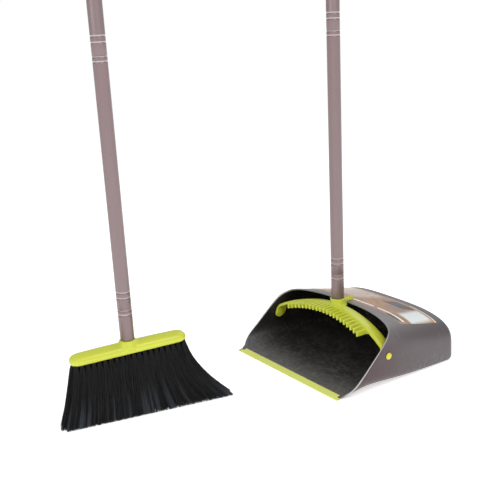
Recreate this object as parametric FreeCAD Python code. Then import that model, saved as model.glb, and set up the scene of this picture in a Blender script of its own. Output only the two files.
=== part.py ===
"""Upright dust pan and broom set: a hooded pan on a swinging handle, and a flared broom.

Frame, in millimetres: X runs along the pan's lip, Y from the open mouth to the back,
Z is up.  The origin is the middle of the pan's flat base, on the floor.
Distances called "back" are measured from the front edge of the lip, towards the back.
"""
import FreeCAD, Part
import math
import os

V = FreeCAD.Vector
X_AXIS = V(1, 0, 0)
Y_AXIS = V(0, 1, 0)
Z_AXIS = V(0, 0, 1)
ORIGIN = V(0, 0, 0)

# ---- pan shell ---------------------------------------------------------------
pan_depth = 260.0              # lip front to back wall
mouth_half_width = 152.0       # widest point, just behind the lip
flare_back = 34.0              # where the widest point is
lip_taper = 5.0                # how much narrower each side is at the lip itself
rear_taper = 9.0               # how much narrower each side is where the rear rounding starts
hood_front_height = 98.0       # crown of the hood at its front edge
hood_rear_height = 79.0        # crown of the hood where the rear rounding starts
waist_front = 38.0             # height of the widest point of the wall, at the mouth
waist_rear = 26.0              # the same at the rear
hood_square_front = 5.4        # superellipse power of the hood over the pivot: boxy
hood_square_rear = 3.2         # the same at the rear: rounder
foot_square_middle = 4.0       # superellipse power of the foot of the wall: round in the middle
foot_square_lip = 10.0         # added at the lip, where the floor is flat to its ends
foot_square_rear = 14.0        # added at the rear, where the foot is tight
foot_lip_fade = 13.0           # distance over which the lip's share fades
foot_rear_power = 1.8          # how late the rear's share comes in
foot_round_back = 54.0         # where the foot is roundest
sole_trim = 1.0                # how much of the round foot is trimmed to a flat sole
rear_round = 14.0              # rounding between the walls and the back
rear_sole_share = 0.5          # how much of the rear rounding the sole follows
rear_steps = 4                 # outlines in the rear rounding
outline_steps = 10             # points in each quarter of a cross outline
outline_crowding = 1.5         # how strongly those points crowd towards its corner
loft_lead = 12.0               # the form starts this far in front of the lip
wall = 2.5
floor_thickness = 2.5
hood_edge_back = 140.0         # front edge of the hood on the centre plane
hood_edge_sweep = 26.0         # how much further forward the hood's corners are
hood_corner_inset = 15.0       # where those corners are, inside the widest point
mouth_edge_start = 3.0         # where the side walls' edge rises from the lip's edge
mouth_slope_start = 15.5       # where it turns up into its slope, at the height of the lip's heel
mouth_slope = 0.89             # rise of the slope for each millimetre back

# ---- lip strip ---------------------------------------------------------------
lip_depth = 13.0
lip_edge = 1.2
lip_heel = 3.4
tongue_low = 0.8               # tongue of the pan floor that the strip is moulded over
tongue_high = 1.8
tongue_front = 6.5

# ---- label on the hood -------------------------------------------------------
label_thickness = 0.3
label_front_margin = 12.0      # behind the hood's front edge
label_rear_margin = 10.0       # in front of the rear rounding
label_left_margin = 25.0       # inside the pan's rear half width
label_right_margin = 19.0

# ---- pivot and yoke ----------------------------------------------------------
pivot_back = 100.6
pivot_height = 51.5
pin_radius = 3.5
pin_clearance = 0.05
pin_head_radius = 5.8
pin_head_height = 2.6
pin_head_gap = 0.4
boss_radius = 8.0
outer_boss_radius = 7.4
outer_boss_proud = 0.5
arm_inset = 5.5                # from the wall's outer face at the pivot to the arm's
arm_gap = 0.4                  # between an arm and its boss
yoke_thickness = 5.0
yoke_width = 21.0              # along Y
yoke_crown_back = 119.5
yoke_crown_radius = 295.0
yoke_corner_radius = 15.0
yoke_corner_keep = 0.6         # share of an inset that the corner radius loses

# ---- comb --------------------------------------------------------------------
tooth_count = 21
tooth_pitch = 9.3
tooth_width = 3.7
tooth_height = 8.4
tooth_reach = 20.5             # in front of the yoke's front face
tooth_drop = 1.8               # top of a tooth below the top of the yoke
comb_web = 3.0                 # thickness of the yoke's front web behind the teeth
comb_web_foot = 1.0            # the web reaches this far below the teeth

# ---- tubes and couplers ------------------------------------------------------
tube_radius = 11.0
tube_wall = 0.8
seat_clearance = 0.05
insert_clearance = 0.05
insert_length = 26.0
spigot_radius = 7.5
spigot_length = 20.0
seam_gap = 0.2
crimp_depth = 0.5
crimp_radius = 1.0
crimp_above = 18.0             # rolled crimp above each seam
crimp_below = 8.5              # rolled crimp below each seam
crimp_at_end = 1.0             # rolled edge of each tube's upper end
plug_shoulder = 0.2            # how much of a plug's shoulder stands out of its tube

# ---- dust pan handle ---------------------------------------------------------
pan_handle_back = 122.5
pan_handle_lean = 1.0          # degrees, backwards
pan_collar_height = 10.0       # above the yoke's crown
pan_collar_wall = 2.0          # round the tube
pan_collar_waist_wall = 1.3    # the same at the waist
pan_collar_waist_share = 0.45  # place of the waist between the yoke and the collar's top
pan_collar_taper = 4.0         # height over which the collar narrows below its waist
pan_collar_rim = 1.2
pan_collar_bury = 6.0          # how far the collar reaches down behind the yoke's crown
pan_hub_step = 0.5             # the hub through the yoke is this much slimmer than the tube
pan_hub_length = 15.0          # below the tube's foot
pan_hub_floor = 2.0            # below the spigot
pan_seat_depth = 11.0          # from the collar's top to the tube's foot
pan_stub_length = 55.0         # from the tube's foot to its first seam
pan_section = 409.0            # length of one screwed handle section
pan_sections = 2
hook_width = 10.0
hook_gap = 0.6                 # hook clear of the hood while it is closed
hook_overlap = 11.0
hook_thickness = 3.2
hook_root_extra = 1.0          # how much higher the hook is where it leaves the collar
hook_shelf = 5.0               # depth of the hook's root in front of the hood's edge
hook_root_inset = 1.5          # how far the hook's root is buried in the collar
hook_knob_radius = 3.0

# ---- broom -------------------------------------------------------------------
broom_x = -38.2                # where the broom's handle axis stands
broom_back = -265.6
broom_yaw = 77.3               # degrees from X to the broom head's long direction
head_half_length = 93.0
head_top = 121.0
head_height = 19.5
head_tilt = 2.6                # degrees, the splayed end up
head_half_thickness = 15.5
head_end_radius = 16.0
head_foot_clip = 3.0           # flat underside: how much of the oval is trimmed away
head_collar_height = 4.0       # above the head's top
head_collar_wall = 2.2         # round the tube
head_collar_foot_wall = 4.2    # the same where the collar meets the head
head_collar_taper = 0.6        # how much the collar narrows below its rim
head_collar_rim = 2.0
head_collar_bury = 4.0         # how far the collar starts inside the head
head_end_power = 2.4           # superellipse power of the head's rounded ends
head_end_flat = 0.15           # the loft stops this far short of the tip
head_end_steps = 6             # outlines in each rounded end
broom_seat_floor = 5.5         # left below the tube's foot
broom_stub_length = 65.0       # from the tube's foot to its first seam
broom_section = 379.0
broom_sections = 3

# ---- bristles ----------------------------------------------------------------
row_count = 4
tufts_per_row = 20
tuft_hole_radius = 1.9
tuft_hole_depth = 8.0
tuft_clearance = 0.05
tuft_inset = 5.0               # from the head's end to the middle of the last tuft
tuft_outer_inset = 3.0         # the two outer rows are this much shorter at each end
tuft_floor = 2.0               # left under the handle's socket by the middle tuft holes
row_pitch_top = 6.0
row_pitch_floor = 7.4
row_thickness_top = 4.6
row_thickness_floor = 6.6
anchor_width = 3.0
anchor_height = 1.6
anchor_thickness = 0.4
anchor_gap = 0.1               # between an anchor and the end of its hole, and its tuft
bristle_inset = 2.0            # from the head's end to the bristles at the top
bristle_steps = 4              # straight stretches that make the curved splay
spread_left = 23.0             # bristles reach this far past the head's left end
spread_right = 67.5            # and this far past its right end, where they splay
spread_left_power = 1.4
spread_right_power = 1.75

# ---- hanging caps ------------------------------------------------------------
cap_wall = 1.2                 # round the tube
cap_skirt = 16.0               # how far the cap covers the tube
cap_height = 34.0              # from the tube's end to the top of the cap
cap_tab_thickness = 9.0
hang_hole_radius = 4.5
hang_hole_drop = 12.0          # from the top of the cap to the hole's axis
cap_plug_length = 18.0
cap_shoulder = 5.0             # full round above the tube's end
cap_neck = 10.0                # where the flat tab starts, above the tube's end
cap_shoulder_flare = 1.05      # base of the cone between shoulder and tab, over cap_radius

# ---- derived places ----------------------------------------------------------
far = 400.0                    # past every face of the pan and the broom head
lip_y = -pan_depth / 2
rear_start = pan_depth - rear_round
lip_half_width = mouth_half_width - lip_taper
rear_half_width = mouth_half_width - rear_taper
hood_corner_half_width = mouth_half_width - hood_corner_inset
yoke_crown_height = hood_front_height
pan_collar_top = yoke_crown_height + pan_collar_height
pan_collar_radius = tube_radius + pan_collar_wall
pan_collar_waist = tube_radius + pan_collar_waist_wall
pan_tube_foot = pan_collar_top - pan_seat_depth
pan_hub_radius = tube_radius - pan_hub_step
pan_hub_bottom = pan_tube_foot - pan_hub_length
pivot_y = lip_y + pivot_back
pan_handle_y = lip_y + pan_handle_back
broom_y = lip_y + broom_back
tube_bore = tube_radius - tube_wall
head_base = head_top - head_height + head_foot_clip
head_collar_top = head_top + head_collar_height
head_collar_radius = tube_radius + head_collar_wall
head_collar_base = tube_radius + head_collar_foot_wall
broom_tube_foot = head_base + broom_seat_floor
cap_radius = tube_radius + cap_wall
yoke_lean = math.atan((yoke_crown_back - pivot_back) / (yoke_crown_height - pivot_height))
yoke_rise = (yoke_crown_height - pivot_height) / math.cos(yoke_lean)


# ---- small helpers -----------------------------------------------------------
def save(name, shape):
    """Write one node."""
    shape.exportStep("parts/" + name + ".step")


def box(low, high):
    """A box between two corners."""
    return Part.makeBox(high[0] - low[0], high[1] - low[1], high[2] - low[2], V(*low))


def cylinder(radius, low, high, x=0.0, y=0.0):
    """An upright cylinder from one height to another."""
    return Part.makeCylinder(radius, high - low, V(x, y, low), Z_AXIS)


def cylinder_x(radius, start, end, y, z):
    """A cylinder along X."""
    return Part.makeCylinder(radius, end - start, V(start, y, z), X_AXIS)


def cone(low_radius, high_radius, low, high, x=0.0, y=0.0):
    """An upright cone frustum."""
    return Part.makeCone(low_radius, high_radius, high - low, V(x, y, low), Z_AXIS)


def prism(points, along):
    """A closed outline of straight edges, extruded."""
    wire = Part.makePolygon(points + [points[0]])
    return Part.Face(wire).extrude(along)


def fuse(shapes):
    """Join shapes into one, without leftover seams."""
    result = shapes[0]
    for shape in shapes[1:]:
        result = result.fuse(shape)
    return result.removeSplitter()


def mix(start, end, share):
    """A value between two others."""
    return start + (end - start) * share


# ---- pan shell ---------------------------------------------------------------
def half_width(back):
    """Half the pan's width at its waist."""
    if back < flare_back:
        share = max(back, 0.0) / flare_back
        return mix(lip_half_width, mouth_half_width, math.sin(share * math.pi / 2))
    share = (back - flare_back) / (rear_start - flare_back)
    return mix(mouth_half_width, rear_half_width, share)


def rear_share(back):
    """0 over the pivot, 1 where the rear rounding starts."""
    return (back - pivot_back) / (rear_start - pivot_back)


def crown_height(back):
    """Height of the hood on the centre plane."""
    share = (back - hood_edge_back) / (rear_start - hood_edge_back)
    return mix(hood_front_height, hood_rear_height, share)


def waist_height(back):
    """Height at which the pan is widest."""
    return mix(waist_front, waist_rear, back / pan_depth)


def hood_square(back):
    """Superellipse power of the hood: boxy in front, rounder behind."""
    share = min(max(1.0 - rear_share(back), 0.0), 1.0)
    return hood_square_rear + (hood_square_front - hood_square_rear) * share ** 2


def foot_square(back):
    """Superellipse power of the foot: tight at the lip and at the rear, round between."""
    at_lip = foot_square_lip * math.exp(-max(back, 0.0) / foot_lip_fade)
    behind = max(back - foot_round_back, 0.0) / (rear_start - foot_round_back)
    return foot_square_middle + at_lip + foot_square_rear * behind ** foot_rear_power


def section(back, inset, base):
    """Closed outline across the pan: a hood curve above the waist, a foot curve below."""
    wide = half_width(back) - inset
    waist = waist_height(back)
    crown = crown_height(back) - inset - waist
    foot = waist - base
    hood_power = hood_square(back)
    foot_power = foot_square(back)
    points = []
    for quarter in range(4):
        rise = crown if quarter < 2 else -foot
        power = hood_power if quarter < 2 else foot_power
        side = 1.0 if quarter in (0, 3) else -1.0
        for i in range(outline_steps):
            # the points crowd towards the corner of each quarter
            share = 2.0 * i / outline_steps - 1.0
            turn = math.pi / 4 * (1.0 + math.copysign(abs(share) ** outline_crowding, share))
            if quarter in (1, 3):
                turn = math.pi / 2 - turn
            across = math.cos(turn)
            up = math.sin(turn)
            length = (across ** power + up ** power) ** (-1.0 / power)
            points.append(V(side * wide * length * across, lip_y + back,
                            waist + rise * length * up))
    curve = Part.BSplineCurve()
    curve.interpolate(Points=points, PeriodicFlag=True)
    return Part.Wire([curve.toShape()])


def pan_body(inset, base, rear, rounding):
    """The full pan form, before the mouth is cut: a long loft and a rounded tail."""
    start = rear - rounding
    stations = [-loft_lead, 0.0, flare_back / 2, flare_back, (flare_back + pivot_back) / 2]
    stations += [pivot_back, hood_edge_back]
    stations += [mix(hood_edge_back, start, share) for share in (1 / 3, 2 / 3, 1.0)]
    front = Part.makeLoft([section(back, inset, base) for back in stations], True, False)
    tail = []
    for step in range(rear_steps + 1):
        turn = math.pi / 2 * step / rear_steps
        pull = rounding * (1 - math.cos(turn))
        tail.append(section(start + rounding * math.sin(turn), inset + pull,
                            base + pull * rear_sole_share))
    return fuse([front, Part.makeLoft(tail, True, False)])


def mouth_cut():
    """What is cut away: above the side walls' sloping edges, and in front of the hood."""
    start = lip_y + mouth_slope_start
    top = lip_heel + far * mouth_slope
    slope = prism([V(-far, lip_y - far, lip_edge),
                   V(-far, lip_y + mouth_edge_start, lip_edge),
                   V(-far, start, lip_heel),
                   V(-far, start + far, top),
                   V(-far, lip_y - far, top)], V(2 * far, 0, 0))
    corner_back = hood_edge_back - hood_edge_sweep
    corner_height = lip_heel + mouth_slope * (corner_back - mouth_slope_start)
    radius = (hood_corner_half_width ** 2 + hood_edge_sweep ** 2) / (2 * hood_edge_sweep)
    in_front = cylinder(radius, corner_height, far, y=lip_y + hood_edge_back - radius)
    return slope, in_front


def wall_at_pivot():
    """Outer face of the side wall at the pivot's height."""
    rise = (pivot_height - waist_height(pivot_back))
    span = crown_height(pivot_back) - waist_height(pivot_back)
    square = hood_square(pivot_back)
    return half_width(pivot_back) * (1 - (rise / span) ** square) ** (1 / square)


def arm_outer():
    """Outer face of each yoke arm, from the centre plane."""
    return wall_at_pivot() - arm_inset


def lip_profile():
    """Wedge section of the lip strip, with the slot for the pan's tongue."""
    points = [(0, 0), (lip_depth, 0), (lip_depth, tongue_low), (tongue_front, tongue_low),
              (tongue_front, tongue_high), (lip_depth, tongue_high), (lip_depth, lip_heel),
              (0, lip_edge)]
    return [V(-mouth_half_width, lip_y + back, z) for back, z in points]


def make_pan():
    """The pan shell, the lip strip that is moulded on it, and the label on its hood."""
    above_floor = box((-far, -far, 0), (far, far, far))
    outer = pan_body(0.0, -sole_trim, pan_depth, rear_round).common(above_floor)
    inner = pan_body(wall, floor_thickness, pan_depth - wall, rear_round - wall)
    lip = prism(lip_profile(), V(2 * mouth_half_width, 0, 0)).common(outer)
    lip_room = box((-far, lip_y - far, 0), (far, lip_y + lip_depth, lip_heel))
    tongue = box((-far, lip_y + tongue_front, tongue_low), (far, lip_y + lip_depth, tongue_high))
    shell = outer.cut(inner)
    for cutter in mouth_cut():
        shell = shell.cut(cutter)
    shell = shell.cut(lip_room.cut(tongue))
    wall_face = wall_at_pivot()
    for side in (-1, 1):
        inner_end = arm_outer() + arm_gap
        boss = cylinder_x(boss_radius, inner_end, wall_face - wall / 2, pivot_y, pivot_height)
        ring = cylinder_x(outer_boss_radius, wall_face - wall / 2, wall_face + outer_boss_proud,
                          pivot_y, pivot_height)
        bore = cylinder_x(pin_radius + pin_clearance, inner_end - 1,
                          wall_face + outer_boss_proud + 1, pivot_y, pivot_height)
        if side < 0:
            boss = boss.mirror(ORIGIN, X_AXIS)
            ring = ring.mirror(ORIGIN, X_AXIS)
            bore = bore.mirror(ORIGIN, X_AXIS)
        shell = shell.fuse(boss).fuse(ring).cut(bore)
    label_room = box((label_left_margin - rear_half_width,
                      lip_y + hood_edge_back + label_front_margin, waist_front),
                     (rear_half_width - label_right_margin,
                      lip_y + rear_start - label_rear_margin, far))
    raised = pan_body(-label_thickness, -sole_trim, pan_depth, rear_round)
    label = raised.common(label_room).cut(outer)
    return shell, lip, label


# ---- yoke --------------------------------------------------------------------
def arch_solid(inset, depth, y_front):
    """Filled arch from pivot to pivot, in a plane that leans back, run straight along Y."""
    reach = arm_outer() - inset
    rise = yoke_rise - inset
    radius = yoke_crown_radius - inset
    corner = yoke_corner_radius - inset * yoke_corner_keep
    centre = rise - radius
    # the corner arc touches the upright arm and the crown arc
    corner_x = reach - corner
    corner_z = centre + math.sqrt((radius - corner) ** 2 - corner_x ** 2)
    away = math.atan2(corner_x, corner_z - centre)
    half = (away + math.pi / 2) / 2

    def place(x, z):
        return V(x, y_front + z * math.sin(yoke_lean), pivot_height + z * math.cos(yoke_lean))

    touch = (corner_x + corner * math.sin(away), corner_z + corner * math.cos(away))
    middle = (corner_x + corner * math.sin(half), corner_z + corner * math.cos(half))
    edges = [
        Part.LineSegment(place(-reach, 0), place(reach, 0)).toShape(),
        Part.LineSegment(place(reach, 0), place(reach, corner_z)).toShape(),
        Part.Arc(place(reach, corner_z), place(*middle), place(*touch)).toShape(),
        Part.Arc(place(*touch), place(0, rise), place(-touch[0], touch[1])).toShape(),
        Part.Arc(place(-touch[0], touch[1]), place(-middle[0], middle[1]),
                 place(-reach, corner_z)).toShape(),
        Part.LineSegment(place(-reach, corner_z), place(-reach, 0)).toShape(),
    ]
    return Part.Face(Part.Wire(edges)).extrude(V(0, depth, 0))


def yoke_top(x):
    """Height and middle Y of the yoke's outer face over a point of the crown arc."""
    z = yoke_rise - yoke_crown_radius + math.sqrt(yoke_crown_radius ** 2 - x ** 2)
    return pivot_height + z * math.cos(yoke_lean), pivot_y + z * math.sin(yoke_lean)


def yoke_block():
    """The filled arch as wide as the yoke, for what must stay outside it."""
    return arch_solid(0.0, yoke_width, pivot_y - yoke_width / 2)


def make_yoke():
    """The arch with its two arms, and a web under its front edge that carries the teeth."""
    front = pivot_y - yoke_width / 2
    band = yoke_block().cut(arch_solid(yoke_thickness, yoke_width + 2, front - 1))
    web_depth = tooth_drop + tooth_height + comb_web_foot
    web = arch_solid(0.0, comb_web, front)
    web = web.cut(arch_solid(web_depth, comb_web + 2, front - 1))
    comb_half = (tooth_count - 1) / 2 * tooth_pitch + tooth_width
    web = web.common(box((-comb_half, -far, 0), (comb_half, far, far)))
    arms = []
    bores = []
    for start in (-arm_outer(), arm_outer() - yoke_thickness):
        end = start + yoke_thickness
        arms.append(cylinder_x(yoke_width / 2, start, end, pivot_y, pivot_height))
        bores.append(cylinder_x(pin_radius, start - 1, end + 1, pivot_y, pivot_height))
    yoke = fuse([band, web] + arms)
    for bore in bores:
        yoke = yoke.cut(bore)
    hub_room = cylinder(pan_hub_radius + seat_clearance, pan_hub_bottom - 1, pan_collar_top + 1,
                        y=pan_handle_y)
    tube_room = cylinder(tube_radius + seat_clearance, pan_tube_foot, pan_collar_top + 1,
                         y=pan_handle_y)
    return yoke.cut(lean(hub_room)).cut(lean(tube_room))


def make_comb():
    """The comb teeth, straight forward from the yoke's front face."""
    behind = fuse([yoke_block(), collar_cup()])
    teeth = []
    for i in range(tooth_count):
        x = (i - (tooth_count - 1) / 2) * tooth_pitch
        edge = abs(x) + tooth_width / 2
        height, y = yoke_top(edge)
        top = height - tooth_drop
        root = y - yoke_width / 2
        tooth = box((x - tooth_width / 2, root - tooth_reach, top - tooth_height),
                    (x + tooth_width / 2, root + 1, top))
        teeth.append(tooth.cut(behind))
    return Part.makeCompound(teeth)


def make_pins():
    """Snap pins: a shaft through wall and arm, and a domed button outside."""
    wall_face = wall_at_pivot() + outer_boss_proud
    shaft = cylinder_x(pin_radius, arm_outer() - yoke_thickness, wall_face + pin_head_gap,
                       pivot_y, pivot_height)
    head_start = wall_face + pin_head_gap
    ball = (pin_head_radius ** 2 + pin_head_height ** 2) / (2 * pin_head_height)
    dome = Part.makeSphere(ball, V(head_start + pin_head_height - ball, pivot_y, pivot_height))
    head = dome.common(cylinder_x(pin_head_radius, head_start, head_start + pin_head_height,
                                  pivot_y, pivot_height))
    right = fuse([shaft, head])
    left = right.mirror(ORIGIN, X_AXIS)
    return left, right


# ---- tubes, couplers and caps ------------------------------------------------
def lean(shape):
    """Lean a piece of the dust pan's handle backwards with its tube."""
    leaned = shape.copy()
    leaned.rotate(V(0, pan_handle_y, pan_collar_top), X_AXIS, -pan_handle_lean)
    return leaned


def tube(low, high, crimps, x, y):
    """A thin tube with rolled crimps at the given heights."""
    body = cylinder(tube_radius, low, high, x, y).cut(cylinder(tube_bore, low - 1, high + 1, x, y))
    for height in crimps:
        ring_radius = tube_radius + crimp_radius - crimp_depth
        body = body.cut(Part.makeTorus(ring_radius, crimp_radius, V(x, y, height), Z_AXIS))
    return body


def foot_plug(tube_foot, base, x, y):
    """Plug in the lowest tube, with the spigot that seats in the socket."""
    shoulder = tube_foot + plug_shoulder
    body = cylinder(tube_bore - insert_clearance, shoulder, tube_foot + insert_length, x, y)
    return fuse([body, cylinder(spigot_radius, base, shoulder, x, y)])


def male_coupler(seam, x, y):
    """Insert in the foot of a section, with the spigot that enters the section below."""
    body = cylinder(tube_bore - insert_clearance, seam + seam_gap, seam + insert_length, x, y)
    return fuse([body, cylinder(spigot_radius, seam - spigot_length, seam + seam_gap, x, y)])


def female_coupler(seam, x, y):
    """Insert in the head of a section, bored for the spigot above."""
    body = cylinder(tube_bore - insert_clearance, seam - insert_length, seam, x, y)
    bore = cylinder(spigot_radius + seat_clearance, seam - spigot_length - 1, seam + 1, x, y)
    return body.cut(bore)


def hang_cap(tube_top, x, y):
    """Cap over the tube's end: a skirt, a plug inside the tube, and a flat tab with a hole."""
    top = tube_top + cap_height
    dome_base = top - cap_radius
    half_tab = cap_tab_thickness / 2
    room = cylinder(tube_radius + seat_clearance, tube_top - cap_skirt - 1, tube_top, x, y)
    skirt = cylinder(cap_radius, tube_top - cap_skirt, tube_top + cap_shoulder, x, y).cut(room)
    plug = cylinder(tube_bore - insert_clearance, tube_top - cap_plug_length, tube_top, x, y)
    bar = fuse([cylinder(cap_radius, tube_top, dome_base, x, y),
                Part.makeSphere(cap_radius, V(x, y, dome_base))])
    slab = box((x - cap_radius, y - half_tab, tube_top + cap_neck),
               (x + cap_radius, y + half_tab, top))
    taper = cone(cap_radius * cap_shoulder_flare, half_tab, tube_top,
                 tube_top + cap_neck + cap_shoulder, x, y)
    shoulder = cylinder(cap_radius, tube_top, tube_top + cap_shoulder, x, y)
    tab = bar.common(fuse([slab, taper, shoulder]))
    hole = Part.makeCylinder(hang_hole_radius, 2 * cap_radius,
                             V(x, y - cap_radius, top - hang_hole_drop), Y_AXIS)
    return fuse([skirt, plug, tab]).cut(hole)


def handle(prefix, foot, plug_base, stub_length, section, sections, names, x, y, place):
    """All the tubes, couplers and the cap of one handle, saved as separate nodes."""
    first_seam = foot + stub_length
    seams = [first_seam + i * section for i in range(sections)]
    tube_top = first_seam + sections * section
    ends = [foot] + seams + [tube_top]
    for i, name in enumerate(names):
        low = ends[i]
        high = ends[i + 1] - (seam_gap if i < sections else 0.0)
        crimps = []
        if i > 0:
            crimps.append(low + crimp_above)
        if i < sections:
            crimps += [ends[i + 1] - crimp_below, ends[i + 1] - crimp_at_end]
        save(prefix + name, place(tube(low, high, crimps, x, y)))
    save(prefix + "foot_plug", place(foot_plug(foot, plug_base, x, y)))
    for i, seam in enumerate(seams):
        number = str(i + 1)
        save(prefix + "male_coupler_" + number, place(male_coupler(seam, x, y)))
        save(prefix + "female_coupler_" + number,
             place(female_coupler(seam - seam_gap, x, y)))
    save(prefix + "hang_cap", place(hang_cap(tube_top, x, y)))


# ---- dust pan collar ---------------------------------------------------------
def collar_cup():
    """Waisted outside of the tube's socket, down to where it is buried behind the crown."""
    y = pan_handle_y
    waist = mix(yoke_crown_height, pan_collar_top, pan_collar_waist_share)
    foot = waist - pan_collar_taper
    rim = pan_collar_top - pan_collar_rim
    return lean(fuse([
        cylinder(pan_collar_radius, yoke_crown_height - pan_collar_bury, foot, y=y),
        cone(pan_collar_radius, pan_collar_waist, foot, waist, y=y),
        cone(pan_collar_waist, pan_collar_radius, waist, rim, y=y),
        cylinder(pan_collar_radius, rim, pan_collar_top, y=y)]))


def make_collar():
    """Socket for the tube on top of the yoke, and the hook that catches the hood's edge."""
    y = pan_handle_y
    hub = lean(cylinder(pan_hub_radius, pan_hub_bottom, pan_tube_foot, y=y))
    socket = fuse([collar_cup().cut(yoke_block()), hub])
    tube_room = lean(cylinder(tube_radius + seat_clearance, pan_tube_foot, far, y=y))
    spigot_room = lean(cylinder(spigot_radius + seat_clearance, pan_hub_bottom + pan_hub_floor,
                                pan_tube_foot + 1, y=y))
    half = hook_width / 2
    edge = lip_y + hood_edge_back
    tip = edge + hook_overlap
    root = y + pan_collar_waist - hook_root_inset
    low = crown_height(hood_edge_back) + hook_gap
    tip_low = low - (crown_height(hood_edge_back) - crown_height(hood_edge_back + hook_overlap))
    tip_low += hook_gap / 2
    hook = prism([V(-half, root, low - hook_shelf),
                  V(-half, edge - hook_gap, low - hook_shelf),
                  V(-half, edge - hook_gap, low),
                  V(-half, tip, tip_low),
                  V(-half, tip, tip_low + hook_thickness),
                  V(-half, root, low + hook_thickness + hook_root_extra)], V(hook_width, 0, 0))
    knob = cylinder_x(hook_knob_radius, -half, half, tip, tip_low + hook_knob_radius)
    return fuse([socket, hook, knob]).cut(tube_room).cut(spigot_room)


# ---- broom head and bristles -------------------------------------------------
def turn_broom(shape):
    """Stand a piece, drawn about the origin along X, where the broom stands."""
    turned = shape.copy()
    turned.rotate(ORIGIN, Z_AXIS, broom_yaw)
    turned.translate(V(broom_x, broom_y, 0))
    return turned


def tilt_head(shape):
    """Tilt a piece, drawn level about the origin, with the broom head."""
    tilted = shape.copy()
    tilted.rotate(V(0, 0, head_base), Y_AXIS, -head_tilt)
    return tilted


def rounded_bar():
    """The head with its ends rounded as a quarter ellipsoid and its underside flat."""
    middle_z = head_top - head_height / 2
    straight = head_half_length - head_end_radius
    sections = []
    stations = [-head_half_length + head_end_flat]
    for step in range(head_end_steps - 1, 0, -1):
        turn = math.pi / 2 * step / head_end_steps
        stations.append(-straight - head_end_radius * math.sin(turn))
    stations += [-straight, straight]
    stations += [-station for station in reversed(stations[:-2])]
    for station in stations:
        over = max(abs(station) - straight, 0.0) / head_end_radius
        share = math.sqrt(1.0 - over ** head_end_power)
        oval = Part.Ellipse(V(0, 0, 0), head_half_thickness * share,
                            head_height / 2 * share).toShape()
        wire = Part.Wire([oval])
        wire.rotate(ORIGIN, X_AXIS, 90)
        wire.rotate(ORIGIN, Z_AXIS, 90)
        wire.translate(V(station, 0, middle_z))
        sections.append(wire)
    bar = Part.makeLoft(sections, True, False)
    return bar.common(box((-far, -far, head_base), (far, far, far)))


def tuft_places():
    """Middle of each tuft hole: (row, along, across)."""
    reach = head_half_length - tuft_inset
    places = []
    for row in range(row_count):
        across = (row - (row_count - 1) / 2) * row_pitch_top
        inset = tuft_outer_inset if row in (0, row_count - 1) else 0.0
        for i in range(tufts_per_row):
            along = mix(inset - reach, reach - inset, i / (tufts_per_row - 1))
            places.append((row, along, across))
    return places


def tuft_depth(along):
    """Depth of a tuft hole: less under the handle's socket."""
    near_tube = abs(along) < tube_radius + 2 * tuft_hole_radius
    return broom_tube_foot - head_base - tuft_floor if near_tube else tuft_hole_depth


def make_head():
    """The broom head: the bar, a low collar for the tube, and the tuft holes below."""
    rim = head_collar_top - head_collar_rim
    collar = fuse([cone(head_collar_base, head_collar_radius - head_collar_taper,
                        head_top - head_collar_bury, rim),
                   cylinder(head_collar_radius, rim, head_collar_top)])
    bar = rounded_bar()
    for row, along, across in tuft_places():
        hole_top = head_base + tuft_depth(along)
        bar = bar.cut(cylinder(tuft_hole_radius, head_base - 1, hole_top, along, across))
    head = fuse([tilt_head(bar), collar])
    return head.cut(cylinder(tube_radius + seat_clearance, broom_tube_foot, head_collar_top + 1))


def bristle_reach(height):
    """Left and right ends of the bristle field at a height above the floor."""
    fall = 1.0 - height / head_base
    end = head_half_length - bristle_inset
    left = end + spread_left * fall ** spread_left_power
    right = end + spread_right * fall ** spread_right_power
    return -left, right


def make_row(row):
    """One row of bristles as a flared slab, with its tuft roots in the head's holes."""
    slab = []
    slope = math.tan(math.radians(head_tilt))
    for step in range(bristle_steps + 1):
        fall = step / bristle_steps
        height = head_base * (1.0 - fall)
        pitch = mix(row_pitch_top, row_pitch_floor, fall)
        half = mix(row_thickness_top, row_thickness_floor, fall) / 2
        across = (row - (row_count - 1) / 2) * pitch
        left, right = bristle_reach(height)
        low = height + left * slope * (1.0 - fall)
        high = height + right * slope * (1.0 - fall)
        corners = [V(left, across - half, low), V(right, across - half, high),
                   V(right, across + half, high), V(left, across + half, low)]
        slab.append(Part.makePolygon(corners + [corners[0]]))
    shapes = [Part.makeLoft(slab, True, True)]
    for place_row, along, across in tuft_places():
        if place_row == row:
            top = head_base + tuft_depth(along) - anchor_height - 2 * anchor_gap
            root = cylinder(tuft_hole_radius - tuft_clearance, head_base - 1, top, along, across)
            shapes.append(tilt_head(root))
    return fuse(shapes)


def make_anchors():
    """The flat wire anchors that hold the folded tufts in their holes."""
    anchors = []
    for row, along, across in tuft_places():
        top = head_base + tuft_depth(along) - anchor_gap
        anchors.append(box((along - anchor_width / 2, across - anchor_thickness / 2,
                            top - anchor_height),
                           (along + anchor_width / 2, across + anchor_thickness / 2, top)))
    return tilt_head(Part.makeCompound(anchors))


# ---- build -------------------------------------------------------------------
os.makedirs("parts", exist_ok=True)

pan_shell, front_lip, hood_label = make_pan()
save("pan_shell", pan_shell)
save("front_lip", front_lip)
save("hood_label", hood_label)

save("yoke_arch", make_yoke())
save("yoke_collar", make_collar())
save("comb_teeth", make_comb())
left_pin, right_pin = make_pins()
save("left_pivot_pin", left_pin)
save("right_pivot_pin", right_pin)
handle("pan_", pan_tube_foot, pan_hub_bottom + pan_hub_floor, pan_stub_length, pan_section,
       pan_sections, ["stub_tube", "lower_tube", "upper_tube"], 0.0, pan_handle_y, lean)

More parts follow.
